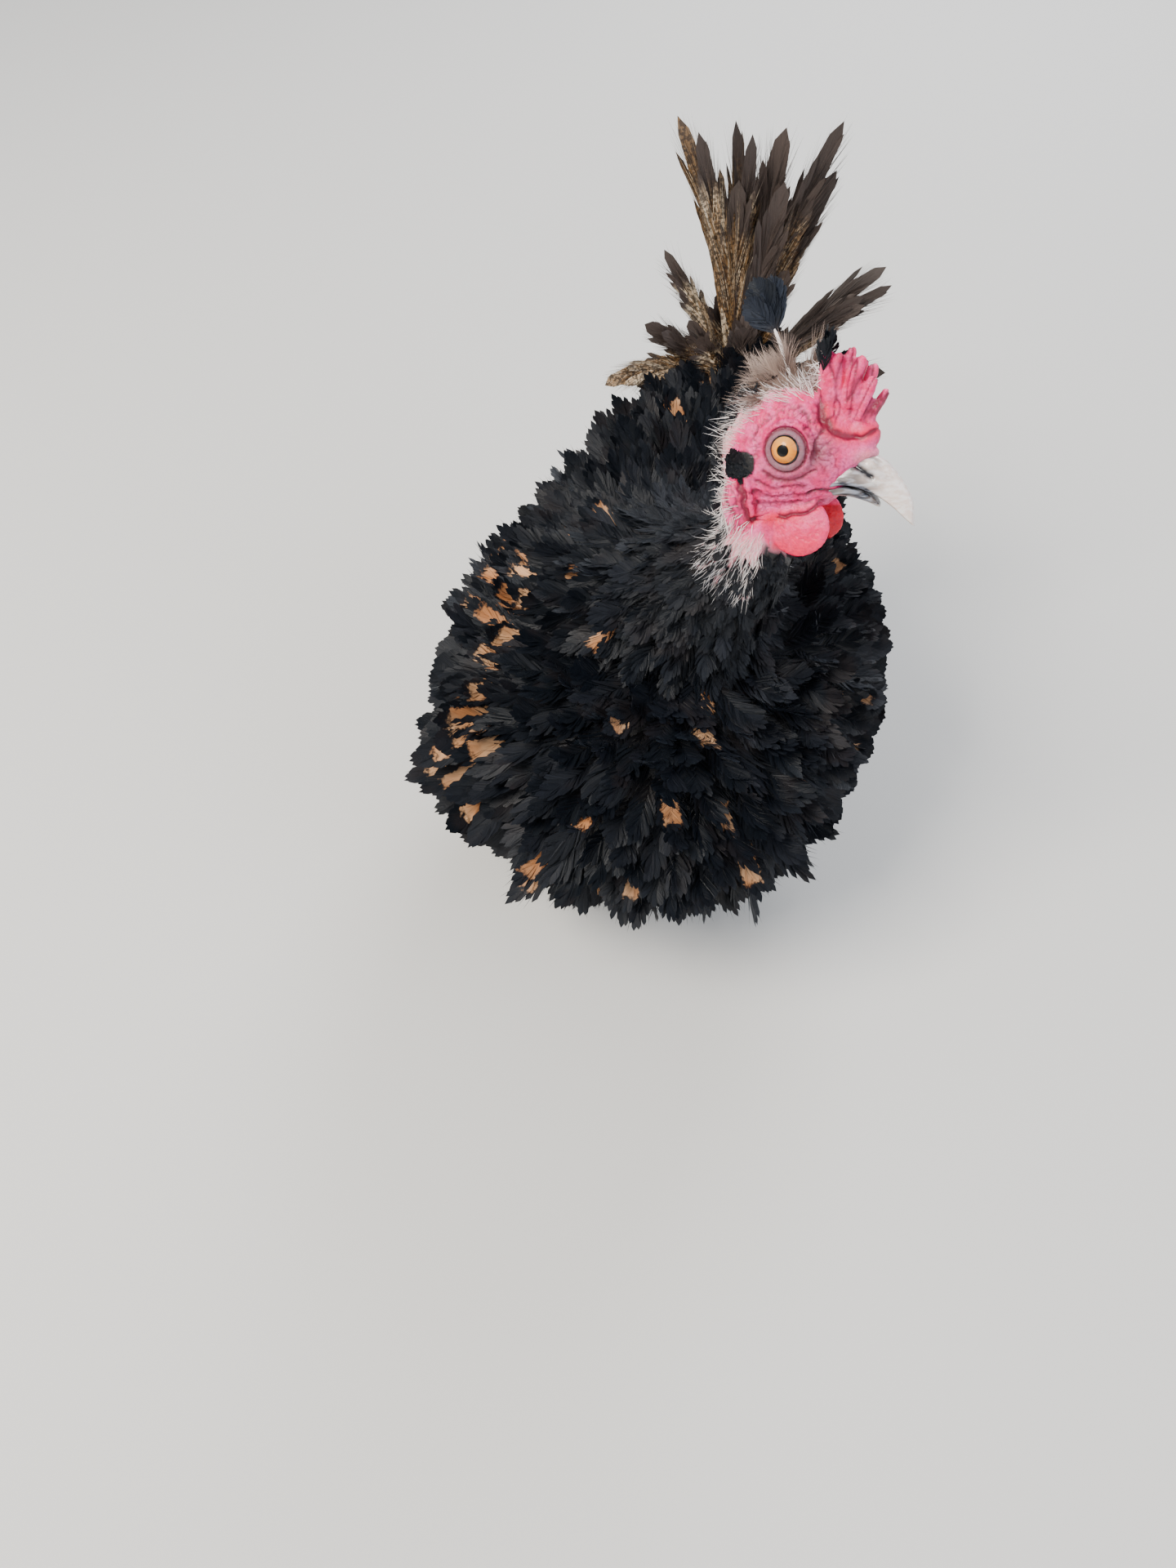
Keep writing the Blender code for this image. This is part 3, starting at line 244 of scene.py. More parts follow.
head_turned = Euler((math.radians(HEAD_ROLL), math.radians(-HEAD_RAISE), math.radians(HEAD_TURN)))
head_frame = Matrix.Translation(HEAD_AT * MM) @ head_turned.to_matrix().to_4x4()
low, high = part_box("eye_right")
eye_middle = (Vector(low) + Vector(high)) / 2
shift = eye_middle - head_frame @ Vector((0, -EYE_SIDE * MM, 0))
head_frame = Matrix.Translation(shift) @ head_frame
body_frame = Matrix.Translation(shift)
SCALE = Matrix.Diagonal((MM, MM, MM, 1))
HEAD_MM, BODY_MM = head_frame @ SCALE, body_frame @ SCALE


def linear(code):
    """A linear colour from an sRGB hex code."""
    values = [int(code[i:i + 2], 16) / 255 for i in (0, 2, 4)]
    return (*(v / 12.92 if v <= 0.04045 else ((v + 0.055) / 1.055) ** 2.4 for v in values), 1.0)


def ease(start, end, x):
    """0 before start and 1 after end, smoothly between."""
    t = np.clip((x - start) / (end - start), 0, 1)
    return t * t * (3 - 2 * t)


def mixed_row(rows, t):
    """The row of numbers at t, 0 at the first row and 1 at the last, on a smooth curve through them all."""
    place = min(max(t, 0.0), 1.0) * (len(rows) - 1)
    i = min(int(place), len(rows) - 2)
    f = place - i
    around = [rows[min(max(k, 0), len(rows) - 1)] for k in (i - 1, i, i + 1, i + 2)]
    return [
        0.5 * (2 * b + (c - a) * f + (2 * a - 5 * b + 4 * c - d) * f**2 + (3 * b - a - 3 * c + d) * f**3)
        for a, b, c, d in zip(*around)
    ]


def smooth_path(rows, count):
    """Evenly spread rows on the smooth curve through the given ones."""
    return [mixed_row(rows, k / (count - 1)) for k in range(count)]


def unit(vectors):
    return vectors / np.maximum(np.linalg.norm(vectors, axis=-1, keepdims=True), 1e-9)


def moved(matrix, points):
    """An array of points moved by a matrix."""
    m = np.array(matrix)
    return points @ m[:3, :3].T + m[:3, 3]


def link(name, mesh):
    obj = bpy.data.objects.new(name, mesh)
    bpy.context.scene.collection.objects.link(obj)
    return obj


def ring_loft(bm, rings, frame, tip=None):
    """A closed form skinned over rings of points, from circles that are moved and bridged."""
    loops = []
    for points in rings:
        verts = bmesh.ops.create_circle(bm, cap_ends=False, segments=len(points), radius=1)["verts"]
        for vert, point in zip(verts, points):
            vert.co = frame @ Vector(point)
        loops.append(list({edge for vert in verts for edge in vert.link_edges}))
    for near, far in zip(loops, loops[1:]):
        bmesh.ops.bridge_loops(bm, edges=near + far)
    bmesh.ops.contextual_create(bm, geom=loops[0])
    last = bmesh.ops.contextual_create(bm, geom=loops[-1])["faces"]
    if tip is not None:
        point = bmesh.ops.poke(bm, faces=last)["verts"][0]
        point.co = frame @ Vector(tip)


def round_angles(sides):
    return [2 * math.pi * i / sides for i in range(sides)]


def outline_rings(rows, count, sides):
    """Oval rings across x through rows of x, lowest z, highest z and half width."""
    rings = []
    for x, bottom, top, half in smooth_path(rows, count):
        middle, tall = (bottom + top) / 2, (top - bottom) / 2
        rings.append([(x, math.cos(a) * half, middle + math.sin(a) * tall) for a in round_angles(sides)])
    return rings


def tube_rings(path, sides, flat=None):
    """Rings round a path of x, y, z and radius. Nothing is lower than the flat level, if one is given."""
    rings = []
    for i, row in enumerate(path):
        ahead, behind = path[min(i + 1, len(path) - 1)], path[max(i - 1, 0)]
        along = (Vector(ahead[:3]) - Vector(behind[:3])).normalized()
        side = along.cross(Vector((0, 0, 1)) if abs(along.z) < 0.9 else Vector((0, 1, 0))).normalized()
        over = side.cross(along)
        ring = []
        for k in range(sides):
            angle = 2 * math.pi * (k + 0.5) / sides
            at = Vector(row[:3]) + (side * math.cos(angle) + over * math.sin(angle)) * row[3]
            if flat is not None:
                at.z = max(at.z, flat)
            ring.append(tuple(at))
        rings.append(ring)
    return rings


def ellipsoid(bm, centre, size, frame, turn=Matrix()):
    """A closed ellipsoid, its centre and half sizes in the frame's measure."""
    matrix = frame @ Matrix.Translation(Vector(centre)) @ turn @ Matrix.Diagonal((*size, 1))
    bmesh.ops.create_uvsphere(bm, u_segments=28, v_segments=18, radius=1, matrix=matrix)


def torus(bm, centre, radius, thick, frame):
    """A ring round the frame's y axis, from a small circle that is spun."""
    middle = Vector(centre)
    before = set(bm.verts)
    turn = Matrix.Translation(middle + Vector((radius, 0, 0)))
    circle = bmesh.ops.create_circle(bm, segments=12, radius=thick, matrix=turn)["verts"]
    edges = list({edge for vert in circle for edge in vert.link_edges})
    bmesh.ops.spin(bm, geom=circle + edges, cent=middle, axis=Vector((0, 1, 0)), angle=2 * math.pi,
                   steps=40, use_merge=True)
    bmesh.ops.transform(bm, matrix=frame, verts=[vert for vert in bm.verts if vert not in before])


def remeshed(bm, voxel, rounds):
    """One watertight surface round all of the bmesh's closed forms, then smoothed."""
    obj = link("rough", mesh_of("rough", bm))
    remesh = obj.modifiers.new("remesh", "REMESH")
    remesh.mode = "VOXEL"
    remesh.voxel_size = voxel
    relax = obj.modifiers.new("relax", "SMOOTH")
    relax.factor, relax.iterations = 0.5, rounds
    graph = bpy.context.evaluated_depsgraph_get()
    made = bpy.data.meshes.new_from_object(obj.evaluated_get(graph), depsgraph=graph)
    bpy.data.objects.remove(obj, do_unlink=True)
    return made


def outward(bm):
    """Turns the faces of a bmesh's closed forms outwards."""
    bm.normal_update()
    bmesh.ops.recalc_face_normals(bm, faces=bm.faces)


def mesh_of(name, bm):
    mesh = bpy.data.meshes.new(name)
    bm.to_mesh(mesh)
    bm.free()
    return mesh


def carried(name, mesh, material, slot, *nodes):
    """The finished piece: smooth, in its material, riding on the body in place of the nodes."""
    mesh.shade_smooth()
    mesh.materials.append(material)
    obj = link(name, mesh)
    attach(obj, "root")
    for node in nodes:
        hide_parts(node)


def add_attribute(mesh, name, kind, values):
    """Keeps a value for each vertex, for the material to read."""
    field = {"FLOAT": "value", "FLOAT_VECTOR": "vector", "FLOAT_COLOR": "color"}[kind]
    mesh.attributes.new(name, kind, "POINT").data.foreach_set(field, np.ravel(values))


def vertex_places(mesh):
    places = np.empty(len(mesh.vertices) * 3)
    mesh.vertices.foreach_get("co", places)
    return places.reshape(-1, 3)


def vertex_normals(mesh):
    normals = np.empty(len(mesh.vertices) * 3)
    mesh.vertex_normals.foreach_get("vector", normals)
    return normals.reshape(-1, 3)


# Skin


# How far the coat's skin lies inside the torso's and the neck's outlines, and the two surfaces' fineness.
TORSO_INSET, NECK_INSET = 2, 1
BODY_VOXEL, HEAD_VOXEL = 3 * MM, 0.53 * MM


def build_body_form():
    """The torso, neck, wings, thighs and rump under the coat, as one coarse surface."""
    bm = bmesh.new()
    rings = []
    for y, bottom, top, half, aside in smooth_path(TORSO, 20):
        wide, tall, middle = half - TORSO_INSET, (top - bottom) / 2 - TORSO_INSET, (bottom + top) / 2
        rings.append([(aside + math.cos(a) * wide, y, middle + math.sin(a) * tall) for a in round_angles(32)])
    ring_loft(bm, rings, BODY_MM)
    neck = [(x, y, z, r - NECK_INSET) for x, y, z, r in smooth_path(NECK, 16)]
    ring_loft(bm, tube_rings(neck, 28), BODY_MM)
    for side in (1, -1):
        turn = Matrix.Rotation(math.radians(WING_PITCH[side]), 4, "X")
        ellipsoid(bm, WING_AT[side], WING_SIZE, BODY_MM, turn)
        rows = []
        for share in (0.0, 0.35, 0.7, 1.0):
            at = THIGH_TOP.lerp(HOCK, share)
            radius = THIGH_TOP_R + (THIGH_LOW_R - THIGH_TOP_R) * share**0.8
            rows.append((side * at.x, at.y, at.z, radius))
        ring_loft(bm, tube_rings(rows, 20), BODY_MM)
    turn = Matrix.Rotation(math.radians(TAIL_RAISE - 90), 4, "X")
    ellipsoid(bm, TAIL_AT, RUMP_SIZE, BODY_MM, turn)
    outward(bm)
    return remeshed(bm, BODY_VOXEL, 3)


def build_head_form():
    """The bare face, throat, comb, wattles and earlobes as one fine surface."""
    bm = bmesh.new()
    ring_loft(bm, outline_rings(HEAD, 22, 32), HEAD_MM)
    # The upper neck, a little slimmer and further to the bird's right towards the head.
    throat = [(x - 3 * w, y, z, r - 1.5 * w)
              for w, (x, y, z, r) in zip(np.linspace(0, 1, 11), smooth_path(NECK, 25)[14:])]
    ring_loft(bm, tube_rings(throat, 28), BODY_MM)
    for side in (1, -1):
        torus(bm, (LID_AT[0], side * LID_AT[1], LID_AT[2]), LID_RADIUS, LID_THICK, HEAD_MM)
        x, y, z = SOCKET_AT
        torus(bm, (x, side * y, z), SOCKET_RADIUS, SOCKET_THICK, HEAD_MM)
        x, y, z = WATTLE_AT
        tilt = Matrix.Rotation(math.radians(side * WATTLE_TILT), 4, "X")
        ellipsoid(bm, (x, side * y, z), WATTLE_SIZE, HEAD_MM, tilt)
        x, y, z = EARLOBE_AT
        ellipsoid(bm, (x, side * y, z), EARLOBE_SIZE, HEAD_MM)
        rim = [(px, side * py, pz, LOBE_RIM_RADIUS) for px, py, pz in LOBE_RIM]
        ring_loft(bm, tube_rings(smooth_path(rim, 10), 10), HEAD_MM)
    for centre, size, lean in COMB_LOBES:
        turn = Matrix.Rotation(math.radians(lean), 4, "Y")
        ellipsoid(bm, centre, size, HEAD_MM, turn)
    for base, middle, tip, radius in COMB_POINTS:
        onward = (Vector(tip) - Vector(middle)).normalized() * radius
        path = [(*base, radius * 1.2), (*middle, radius * 0.92), (*tip, radius * 0.8)]
        path = smooth_path(path, 7) + [(*(Vector(tip) + onward * 0.5), radius * 0.62)]
        ring_loft(bm, tube_rings(path, 12), HEAD_MM, tip=Vector(tip) + onward * 0.85)
    outward(bm)
    return remeshed(bm, HEAD_VOXEL, 4)


def face_reach(h):
    """How far out over the head each place is: 1 at the back edge of the bare face, more down the nape."""
    reach = np.where(h[:, 0] > 1, 42, 25)
    nape = ease(11, 5, abs(h[:, 1])) * ease(-8, -15, h[:, 0])
    return np.sqrt(((h[:, 0] - 1) / reach) ** 2 + ((h[:, 2] + 10) / 31) ** 2) + 0.7 * nape


def throat_front(h):
    """1 on the front of the throat under the wattles, where black feathers grow, and 0 on its bare sides."""
    line = -6.5 + 0.357 * np.minimum(h[:, 2] + 28, 0)
    return ease(-1.5, 1.5, h[:, 0] - line) * ease(-26, -29, h[:, 2])


def groove(distance, width):
    """1 in the middle of a crease and 0 past its width."""
    return np.exp(-((distance / width) ** 2))


def line_distance(x, z, points):
    """The distance of each place from a line through points, seen from the side."""
    best = np.full(len(x), 1e9)
    for (ax, az), (bx, bz) in zip(points, points[1:]):
        dx, dz = bx - ax, bz - az
        t = np.clip(((x - ax) * dx + (z - az) * dz) / (dx * dx + dz * dz), 0, 1)
        best = np.minimum(best, np.hypot(x - ax - t * dx, z - az - t * dz))
    return best


# Ovals on the side of the head: middle x and z, and half sizes.
CHEEK, LORES, LOBE = (-1, -16.5, 14, 7.5), (14, -4, 6.5, 8), (-18.6, -18, 5.4, 9.5)


def oval(x, z, area):
    """1 in the middle of an oval, fading to 0 past its edge."""
    middle_x, middle_z, half_x, half_z = area
    return groove(np.hypot((x - middle_x) / half_x, (z - middle_z) / half_z), 1.0)


def noise_at(points, scale, stretch=(1, 1, 1), offset=0.0):
    """Smooth noise at points in millimetres, with features about the given size."""
    q = points * (np.array(stretch) / scale) + offset
    return np.array([noise.noise(Vector(row)) for row in q])


def fine_lines(points, scale, sharp, stretch=(1, 1, 1), offset=0.0):
    """A net of narrow creases: 1 along each line and 0 between."""
    return np.clip(1 - abs(noise_at(points, scale, stretch, offset)) * sharp, 0, 1) ** 1.5


def wrinkle_face(mesh):
    """Presses the face's folds and creases into the fine surface. Returns how hollow each place became."""
    places, normals = vertex_places(mesh), vertex_normals(mesh)
    h = moved(HEAD_MM.inverted(), places)
    x, y, z = h.T
    beside = ease(4.5, 8, abs(y))
    bare = ease(1.25, 1.0, face_reach(h))
    eye_x, eye_z = x - LID_AT[0], z - LID_AT[2]
    round_eye = np.hypot(eye_x, eye_z)
    above_eye = ease(-0.6, 0.1, eye_z / np.maximum(round_eye, 1))

    # The groove round the lid, and the named creases on a slightly wavy course.
    wavy = h + np.stack([noise_at(h, 4, offset=2), y * 0, noise_at(h, 4, offset=7)], 1) * 1.1
    lines = 0.8 * groove(round_eye - 7.5, 0.5)
    for points, depth, width in CREASES:
        lines += depth * groove(line_distance(wavy[:, 0], wavy[:, 2], points), width)

    # Fine lines: rays over the eye, slanted on the cheek, a net before the eye, upright on the lobe.
    around = np.stack([np.arctan2(eye_z, eye_x) * 7, round_eye * 0.35, y * 0.1], 1)
    lines += 0.42 * fine_lines(around, 1.0, 4.0) * groove(round_eye - 11.5, 3.8) * above_eye
    slanted = np.stack([x * 0.5 + z * 0.35, y * 0.3, z * 1.2 - x * 0.3], 1)
    lines += 0.42 * fine_lines(slanted, 1.5, 4.2) * oval(x, z, CHEEK)
    lines += 0.45 * fine_lines(h, 2.1, 4.0, offset=9) * oval(x, z, LORES)
    lines += 0.5 * fine_lines(h, 2.2, 3.6, (1.2, 0.4, 0.45), 13) * oval(x, z, LOBE)
    lines *= beside * ease(20, 16, z) * ease(6.6, 7.4, round_eye)

    # The crease round the comb's foot, and grooves that fan up between its points.
    lines += 0.85 * groove(line_distance(wavy[:, 0], wavy[:, 2], COMB_CREASE), 0.85) * ease(9, 11, x) * bare
    comb = ease(7, 10, x) * ease(5, 10, z)
    fan = np.arctan2(x - 14, z + 8) * 19
    lines += comb * 0.55 * fine_lines(np.stack([fan, y * 0.5, z * 0.13], 1), 2.0, 3.0, offset=31)

    # Pebbled skin on face, comb and wattle, a finely beaded lid, and a soft unevenness of the whole face.
    pebbles = noise_at(h, 1.3, offset=21)
    wattle = ease(-22, -26, z) * ease(-9, -5, x)
    swell = 0.14 * bare * pebbles + 0.10 * comb * pebbles + 0.06 * wattle * pebbles
    swell += 0.08 * ease(8, 7.4, round_eye) * beside * noise_at(h, 0.9, offset=51)
    swell += bare * 0.25 * noise_at(h, 4.5, offset=41) * ease(8, 10, round_eye)
    mesh.vertices.foreach_set("co", (places - normals * ((lines + swell) * MM)[:, None]).ravel())
    return np.clip(lines * 1.9 + swell * 1.2, 0, 1)


def skin_tints(h):
    """Shares of red, mauve, pale and feathered skin at places in the head's frame, for the material."""
    x, y, z = h.T
    beside = ease(5, 8, abs(y))
    round_eye = np.hypot(x - LID_AT[0], z - LID_AT[2])

    # Red: the comb and its crease, the wattles, deepest low down, and two folds. In the crease and the folds
    # the red is partly the skin's own and partly painted shade; the far wattle is painted deeper red as
    # painted shade.
    comb = ease(8, 11, x) * ease(3, 9, z)
    crease = groove(line_distance(x, z, COMB_CREASE), 2.4) * ease(9, 12, x)
    disc = np.hypot((x - WATTLE_AT[0]) / (WATTLE_SIZE[0] + 1), (z - WATTLE_AT[2]) / (WATTLE_SIZE[2] + 1.4))
    wattle = ease(-21.5, -25, z) * ease(1.12, 1.0, disc) * ease(4.5, 6.5, abs(y))
    # Painted shade: the far wattle is made redder and darker than the near one.
    far_wattle = wattle * ease(0, 3, y)
    jaw = groove(line_distance(x, z, JAW_CREASE), 2.0) * beside
    rim = groove(line_distance(x, z, LOBE_CREASE), 1.9) * beside
    low = ease(-27, -37, z)
    red = 0.2 * comb + 0.85 * crease + (0.45 + 0.4 * low) * wattle + 0.9 * far_wattle + 0.6 * jaw + 0.6 * rim

    # Mauve: the lid, the hollow under the eye and the skin before it.
    lid = ease(7.7, 7.2, round_eye)
    below = ease(-0.4, 0.7, (x * 0.5 - z) / np.maximum(round_eye, 1))
    orbit = groove(round_eye - 9.6, 2.0) * below * 0.6
    lores = groove(np.hypot((x - 13) / 3.6, (z + 2) / 6.5), 1.0) * 0.6
    mauve = (lid + orbit + lores) * beside * ease(-24, -18, z)

    # Pale: the throat, the back edge of the face and the root of the bill.
    throat = ease(-27, -35, z) * (1 - wattle)
    reach = face_reach(h)
    behind = ease(0.82, 1.05, reach) * ease(12, 4, x) * ease(-28, -12, z)
    pale = 0.75 * throat + 0.9 * behind + 0.5 * ease(20, 25, x) * ease(0, -5, z)

    # Feathered: the nape, the front of the throat and the ear, with a ragged edge.
    feathered = np.maximum(ease(1.45, 1.8, reach) * ease(14, 8, x), throat_front(h) * (1 - wattle))
    ear = np.hypot(x - EAR_TUFT_AT[0], z - EAR_TUFT_AT[2])
    feathered = np.maximum(feathered, ease(5.0, 4.2, ear + 0.9 * noise_at(h, 2.0, offset=61)) * beside)
    return np.clip(np.stack([red, mauve, pale, feathered], 1), 0, 1)


def build_skin(material):
    """One skin: the coarse body under the coat and the fine head, meeting under the neck's feathers."""
    head_form, body_form = build_head_form(), build_body_form()
    # How deep the face was pressed, which the material paints as shade in the creases.
    hollow = np.concatenate([wrinkle_face(head_form), np.zeros(len(body_form.vertices))])
    bm = bmesh.new()
    bm.from_mesh(head_form)
    bm.from_mesh(body_form)
    bmesh.ops.triangulate(bm, faces=bm.faces)
    mesh = mesh_of("skin", bm)
    local = moved(HEAD_MM.inverted(), vertex_places(mesh))
    add_attribute(mesh, "tints", "FLOAT_COLOR", skin_tints(local))
    add_attribute(mesh, "hollow", "FLOAT", hollow)
    add_attribute(mesh, "head_place", "FLOAT_VECTOR", local)
    mesh.shade_smooth()
    mesh.materials.append(material)
    return link("skin", mesh)


# Feathers


def template_arrays(bm):
    """A bmesh as arrays of places and triangles, its faces outward."""
    bmesh.ops.triangulate(bm, faces=bm.faces)
    bm.normal_update()
    bmesh.ops.recalc_face_normals(bm, faces=bm.faces)
    bm.verts.index_update()
    places = np.array([vert.co[:] for vert in bm.verts])
    triangles = np.array([[vert.index for vert in face.verts] for face in bm.faces])
    bm.free()
    return places, triangles


def cone_template(cuts):
    """A three-sided cone from z = 0 to its tip at z = 1, its sides cut so often on the way."""
    bm = bmesh.new()
    bmesh.ops.create_cone(bm, cap_ends=True, segments=3, radius1=1, radius2=0, depth=1,
                          matrix=Matrix.Translation((0, 0, 0.5)))
    bmesh.ops.remove_doubles(bm, verts=bm.verts, dist=1e-5)
    sides = [edge for edge in bm.edges if abs(edge.verts[0].co.z - edge.verts[1].co.z) > 0.5]
    bmesh.ops.subdivide_edges(bm, edges=sides, cuts=cuts)
    return template_arrays(bm)


def strip_template():
    """A thin flat strip with a rounded end, from z = 0 to its tip at z = 1."""
    bm = bmesh.new()
    rows = ((0.0, 0.6), (0.5, 1.0), (0.87, 0.72))
    ring_loft(bm, [[(-w, 0, t), (0, 1, t), (w, 0, t), (0, -1, t)] for t, w in rows], Matrix(), tip=(0, 0, 1))
    return template_arrays(bm)


BARB, SHAFT, STRIP = cone_template(1), cone_template(3), strip_template()


def laid(shape, side, start, end, out, half, curve, aspect, level, flutter):
    """A barb or strip laid from the shaft to the feather's edge, its half width a share of the length."""
    x, y, t = shape[0].T
    ahead = end - start
    aside = out * curve * np.maximum(1 - t, 0.02) ** (curve - 1) * aspect
    size = np.hypot(ahead, aside)
    along = start + ahead * t - x * half * aside / size
    across = out * (1 - (1 - t) ** curve) + x * half * ahead / size / aspect
    height = 0.35 * y + 0.3 * x + 0.4 * level + flutter * t * t
    return np.stack([along, side * across, height], 1), shape[1][:, ::-1] if side > 0 else shape[1]


def feather_template(draw, strips=5, hairs=10, sweep=0.3, ragged=0.15, blunt=0.72, widest=0.5, narrow=0.42,
                     root=0.06, last=0.8, turn_at=0.5, curve=1.4, aspect=0.19, overlap=1.7, fine=0.011,
                     flutter=2.0):
    """One flat feather: along 0 to 1, across -1 to 1, height in shaft widths.

    Each half of the vane is made of overlapping strips of barbs that cling together, which sweep from the
    shaft to the edge and round the tip. Fine single barbs lie among them and stand past the edge.
    """

    def edge(u):
        if u < turn_at:
            end = root + sweep + (blunt - root - sweep) * u / turn_at
            return end, narrow + (1 - narrow) * float(ease(0.0, widest, end))
        angle = 1.45 * (u - turn_at) / (1 - turn_at)
        return blunt + (1.0 - blunt) * math.sin(angle), math.cos(angle)

    def middle(u):
        end, out = edge(u)
        start = root + (last - root) * u
        return np.array((start + (end - start) * 0.7, out * (1 - 0.3**curve) * aspect))

    pieces = []
    for side in (1, -1):
        for k in range(strips):
            u = (k + 0.5) / strips
            end, out = edge(u)
            start = root + (last - root) * u
            step = middle(min(u + 0.5 / strips, 1)) - middle(u - 0.5 / strips)
            way = unit(np.array((end - start, out * curve * 0.3 ** (curve - 1) * aspect)))
            half = max(overlap * 0.5 * abs(step[0] * way[1] - step[1] * way[0]), 0.018)
            shorter = 1 - ragged * draw.uniform(0, 0.6)
            form = laid(STRIP, side, start, end - (1 - shorter) * 0.3, out * shorter, half, curve, aspect,
                        draw.uniform(-1, 1), flutter * draw.uniform(-1, 1))
            pieces.append((*form, draw.uniform(-0.6, 0.6)))
        for k in range(hairs):
            u = (k + draw.uniform(0, 1)) / hairs
            end, out = edge(u)
            start = root + (last - root) * u
            longer = draw.uniform(0.96, 1.12)
            half = fine * draw.uniform(0.7, 1.3)
            form = laid(BARB, side, start, end + 0.3 * (longer - 1), out * longer, half, curve, aspect,
                        draw.uniform(-1, 2), flutter * draw.uniform(-1.5, 1.8))
            pieces.append((*form, draw.uniform(-1, 1)))
    if strips:
        form = laid(STRIP, 1, last - 0.12, 1.0, 0.0, 0.045, 1.0, aspect, 0.0, 0.0)
        pieces.append((*form, 0.0))
    places, faces, marks, count = [], [], [], 0
    for points, triangles, tone in pieces:
        places.append(points)
        faces.append(triangles + count)
        across = np.clip(abs(points[:, 1]), 0, 1)
        marks.append(np.stack([points[:, 0], across, np.full(len(points), tone)], 1))
        count += len(points)
    x, y, t = SHAFT[0].T
    places.append(np.stack([t * 0.9, x * 0.05 * (1 - 0.5 * t), y * 0.8 * (1 - 0.6 * t) + 0.3], 1))
    faces.append(SHAFT[1][:, ::-1] + count)
    marks.append(np.stack([t, np.full(len(t), -1.0), np.zeros(len(t))], 1))
    return np.concatenate(places), np.concatenate(faces), np.concatenate(marks)


def plume_batch(template, spec):
    """Many feathers: the template bent along each one's curl and set at its root.

    Spec holds arrays: root, lie, out (vectors), length, width (whole breadth), lift, curl, bend, twist in
    degrees, sunk, thick, cup, and the shares tone and gold and the place on the unwrapped skin.
    """
    places, faces, marks = template
    n, steps = len(spec["root"]), 18
    lie = unit(spec["lie"] - spec["out"] * np.sum(spec["lie"] * spec["out"], 1, keepdims=True))
    across = np.cross(lie, spec["out"])
    s = np.linspace(0, 1.06, steps)
    up = np.radians(spec["lift"][:, None] + spec["curl"][:, None] * s**1.2)
    turn = np.radians(spec["bend"][:, None] * s)
    level = lie[:, None] * np.cos(turn)[..., None] + across[:, None] * np.sin(turn)[..., None]
    aside = across[:, None] * np.cos(turn)[..., None] - lie[:, None] * np.sin(turn)[..., None]
    out = spec["out"][:, None]
    heading = level * np.cos(up)[..., None] + out * np.sin(up)[..., None]
    over = out * np.cos(up)[..., None] - level * np.sin(up)[..., None]
    roll = np.radians(spec["twist"][:, None] * s)
    side = aside * np.cos(roll)[..., None] + over * np.sin(roll)[..., None]
    over = over * np.cos(roll)[..., None] - aside * np.sin(roll)[..., None]
    stride = (spec["length"] / (steps - 1) * 1.06)[:, None, None]
    walk = np.concatenate([np.zeros((n, 1, 3)), np.cumsum((heading[:, 1:] + heading[:, :-1]) / 2, 1)], 1)
    middle = spec["root"][:, None] - heading[:, :1] * spec["sunk"][:, None, None] + walk * stride
    where = np.clip(places[:, 0] / 1.06, 0, 0.9999) * (steps - 1)
    k = where.astype(int)
    f = (where - k)[None, :, None]

    def at(values):
        return values[:, k] * (1 - f) + values[:, k + 1] * f

    a = places[:, 1][None, :, None] * (spec["width"] / 2)[:, None, None]
    lift = places[:, 2][None, :, None] * spec["thick"][:, None, None]
    cup = (places[:, 1] ** 2)[None, :, None] * (spec["cup"] * spec["width"] / 2)[:, None, None]
    points = at(middle) + at(side) * a + at(over) * (lift + cup)
    triangles = faces[None] + (np.arange(n) * len(places))[:, None, None]
    plume = np.empty((n, len(places), 4))
    plume[..., 0], plume[..., 1] = marks[:, 0], marks[:, 1]
    plume[..., 2] = np.clip(0.5 + 0.3 * spec["tone"][:, None] + 0.3 * marks[:, 2], 0, 1)
    plume[..., 3] = spec["gold"][:, None]
    patch = spec["patch"][:, None] + np.stack([marks[:, 0], abs(marks[:, 1])], 1)[None] * PATCH
    return points.reshape(-1, 3), triangles.reshape(-1, 3), plume.reshape(-1, 4), patch.reshape(-1, 2)


# Edges of barbs and strips that turn by more degrees than this stay sharp.
SHARP_ANGLE = 70
taken_patches = set()


def free_patches(wanted):
    """Places on the unwrapped skin, each moved to a near patch that no other tuft has."""
    last = 1 / PATCH - 1
    found = []
    for u, v in wanted:
        i, j = int(u / PATCH), int(v / PATCH)
        ring, free = 0, []
        while not free:
            around = range(-ring, ring + 1)
            cells = [(i + a, j + b) for a in around for b in around]
            free = [cell for cell in cells
                    if cell not in taken_patches and min(cell) >= 0 and max(cell) < last]
            ring += 1
        taken_patches.add(free[0])
        found.append((free[0][0] * PATCH, free[0][1] * PATCH))
    return np.array(found)


def unwrap(points):
    """Where places lie on a flat unwrap of the skin: the body on the left, head and neck on the right."""
    c = moved(BODY_MM.inverted(), points)
    h = moved(HEAD_MM.inverted(), points)
    round_body = np.arctan2(c[:, 0], -(c[:, 2] - 118)) / (2 * math.pi) + 0.5
    along = (c[:, 1] + 130) / 280
    round_neck = np.arctan2(c[:, 0] - 10, -(c[:, 1] + 28)) / (2 * math.pi) + 0.5
    up = (c[:, 2] - 150) / 150
    round_head = np.arctan2(h[:, 1], -h[:, 0]) / (2 * math.pi) + 0.5
    head = np.linalg.norm(h - np.array((0, 0, -8)), axis=1) < 44
    neck = ~head & (c[:, 2] > 165) & (c[:, 1] < 45)
    u = np.where(head, 0.66 + 0.33 * round_head, np.where(neck, 0.66 + 0.33 * round_neck, 0.62 * round_body))
    v = np.where(head, 0.02 + 0.3 * (h[:, 2] + 50) / 100, np.where(neck, 0.36 + 0.6 * up, along))
    return np.stack([np.clip(u, 0.004, 0.99), np.clip(v, 0.004, 0.99)], 1)


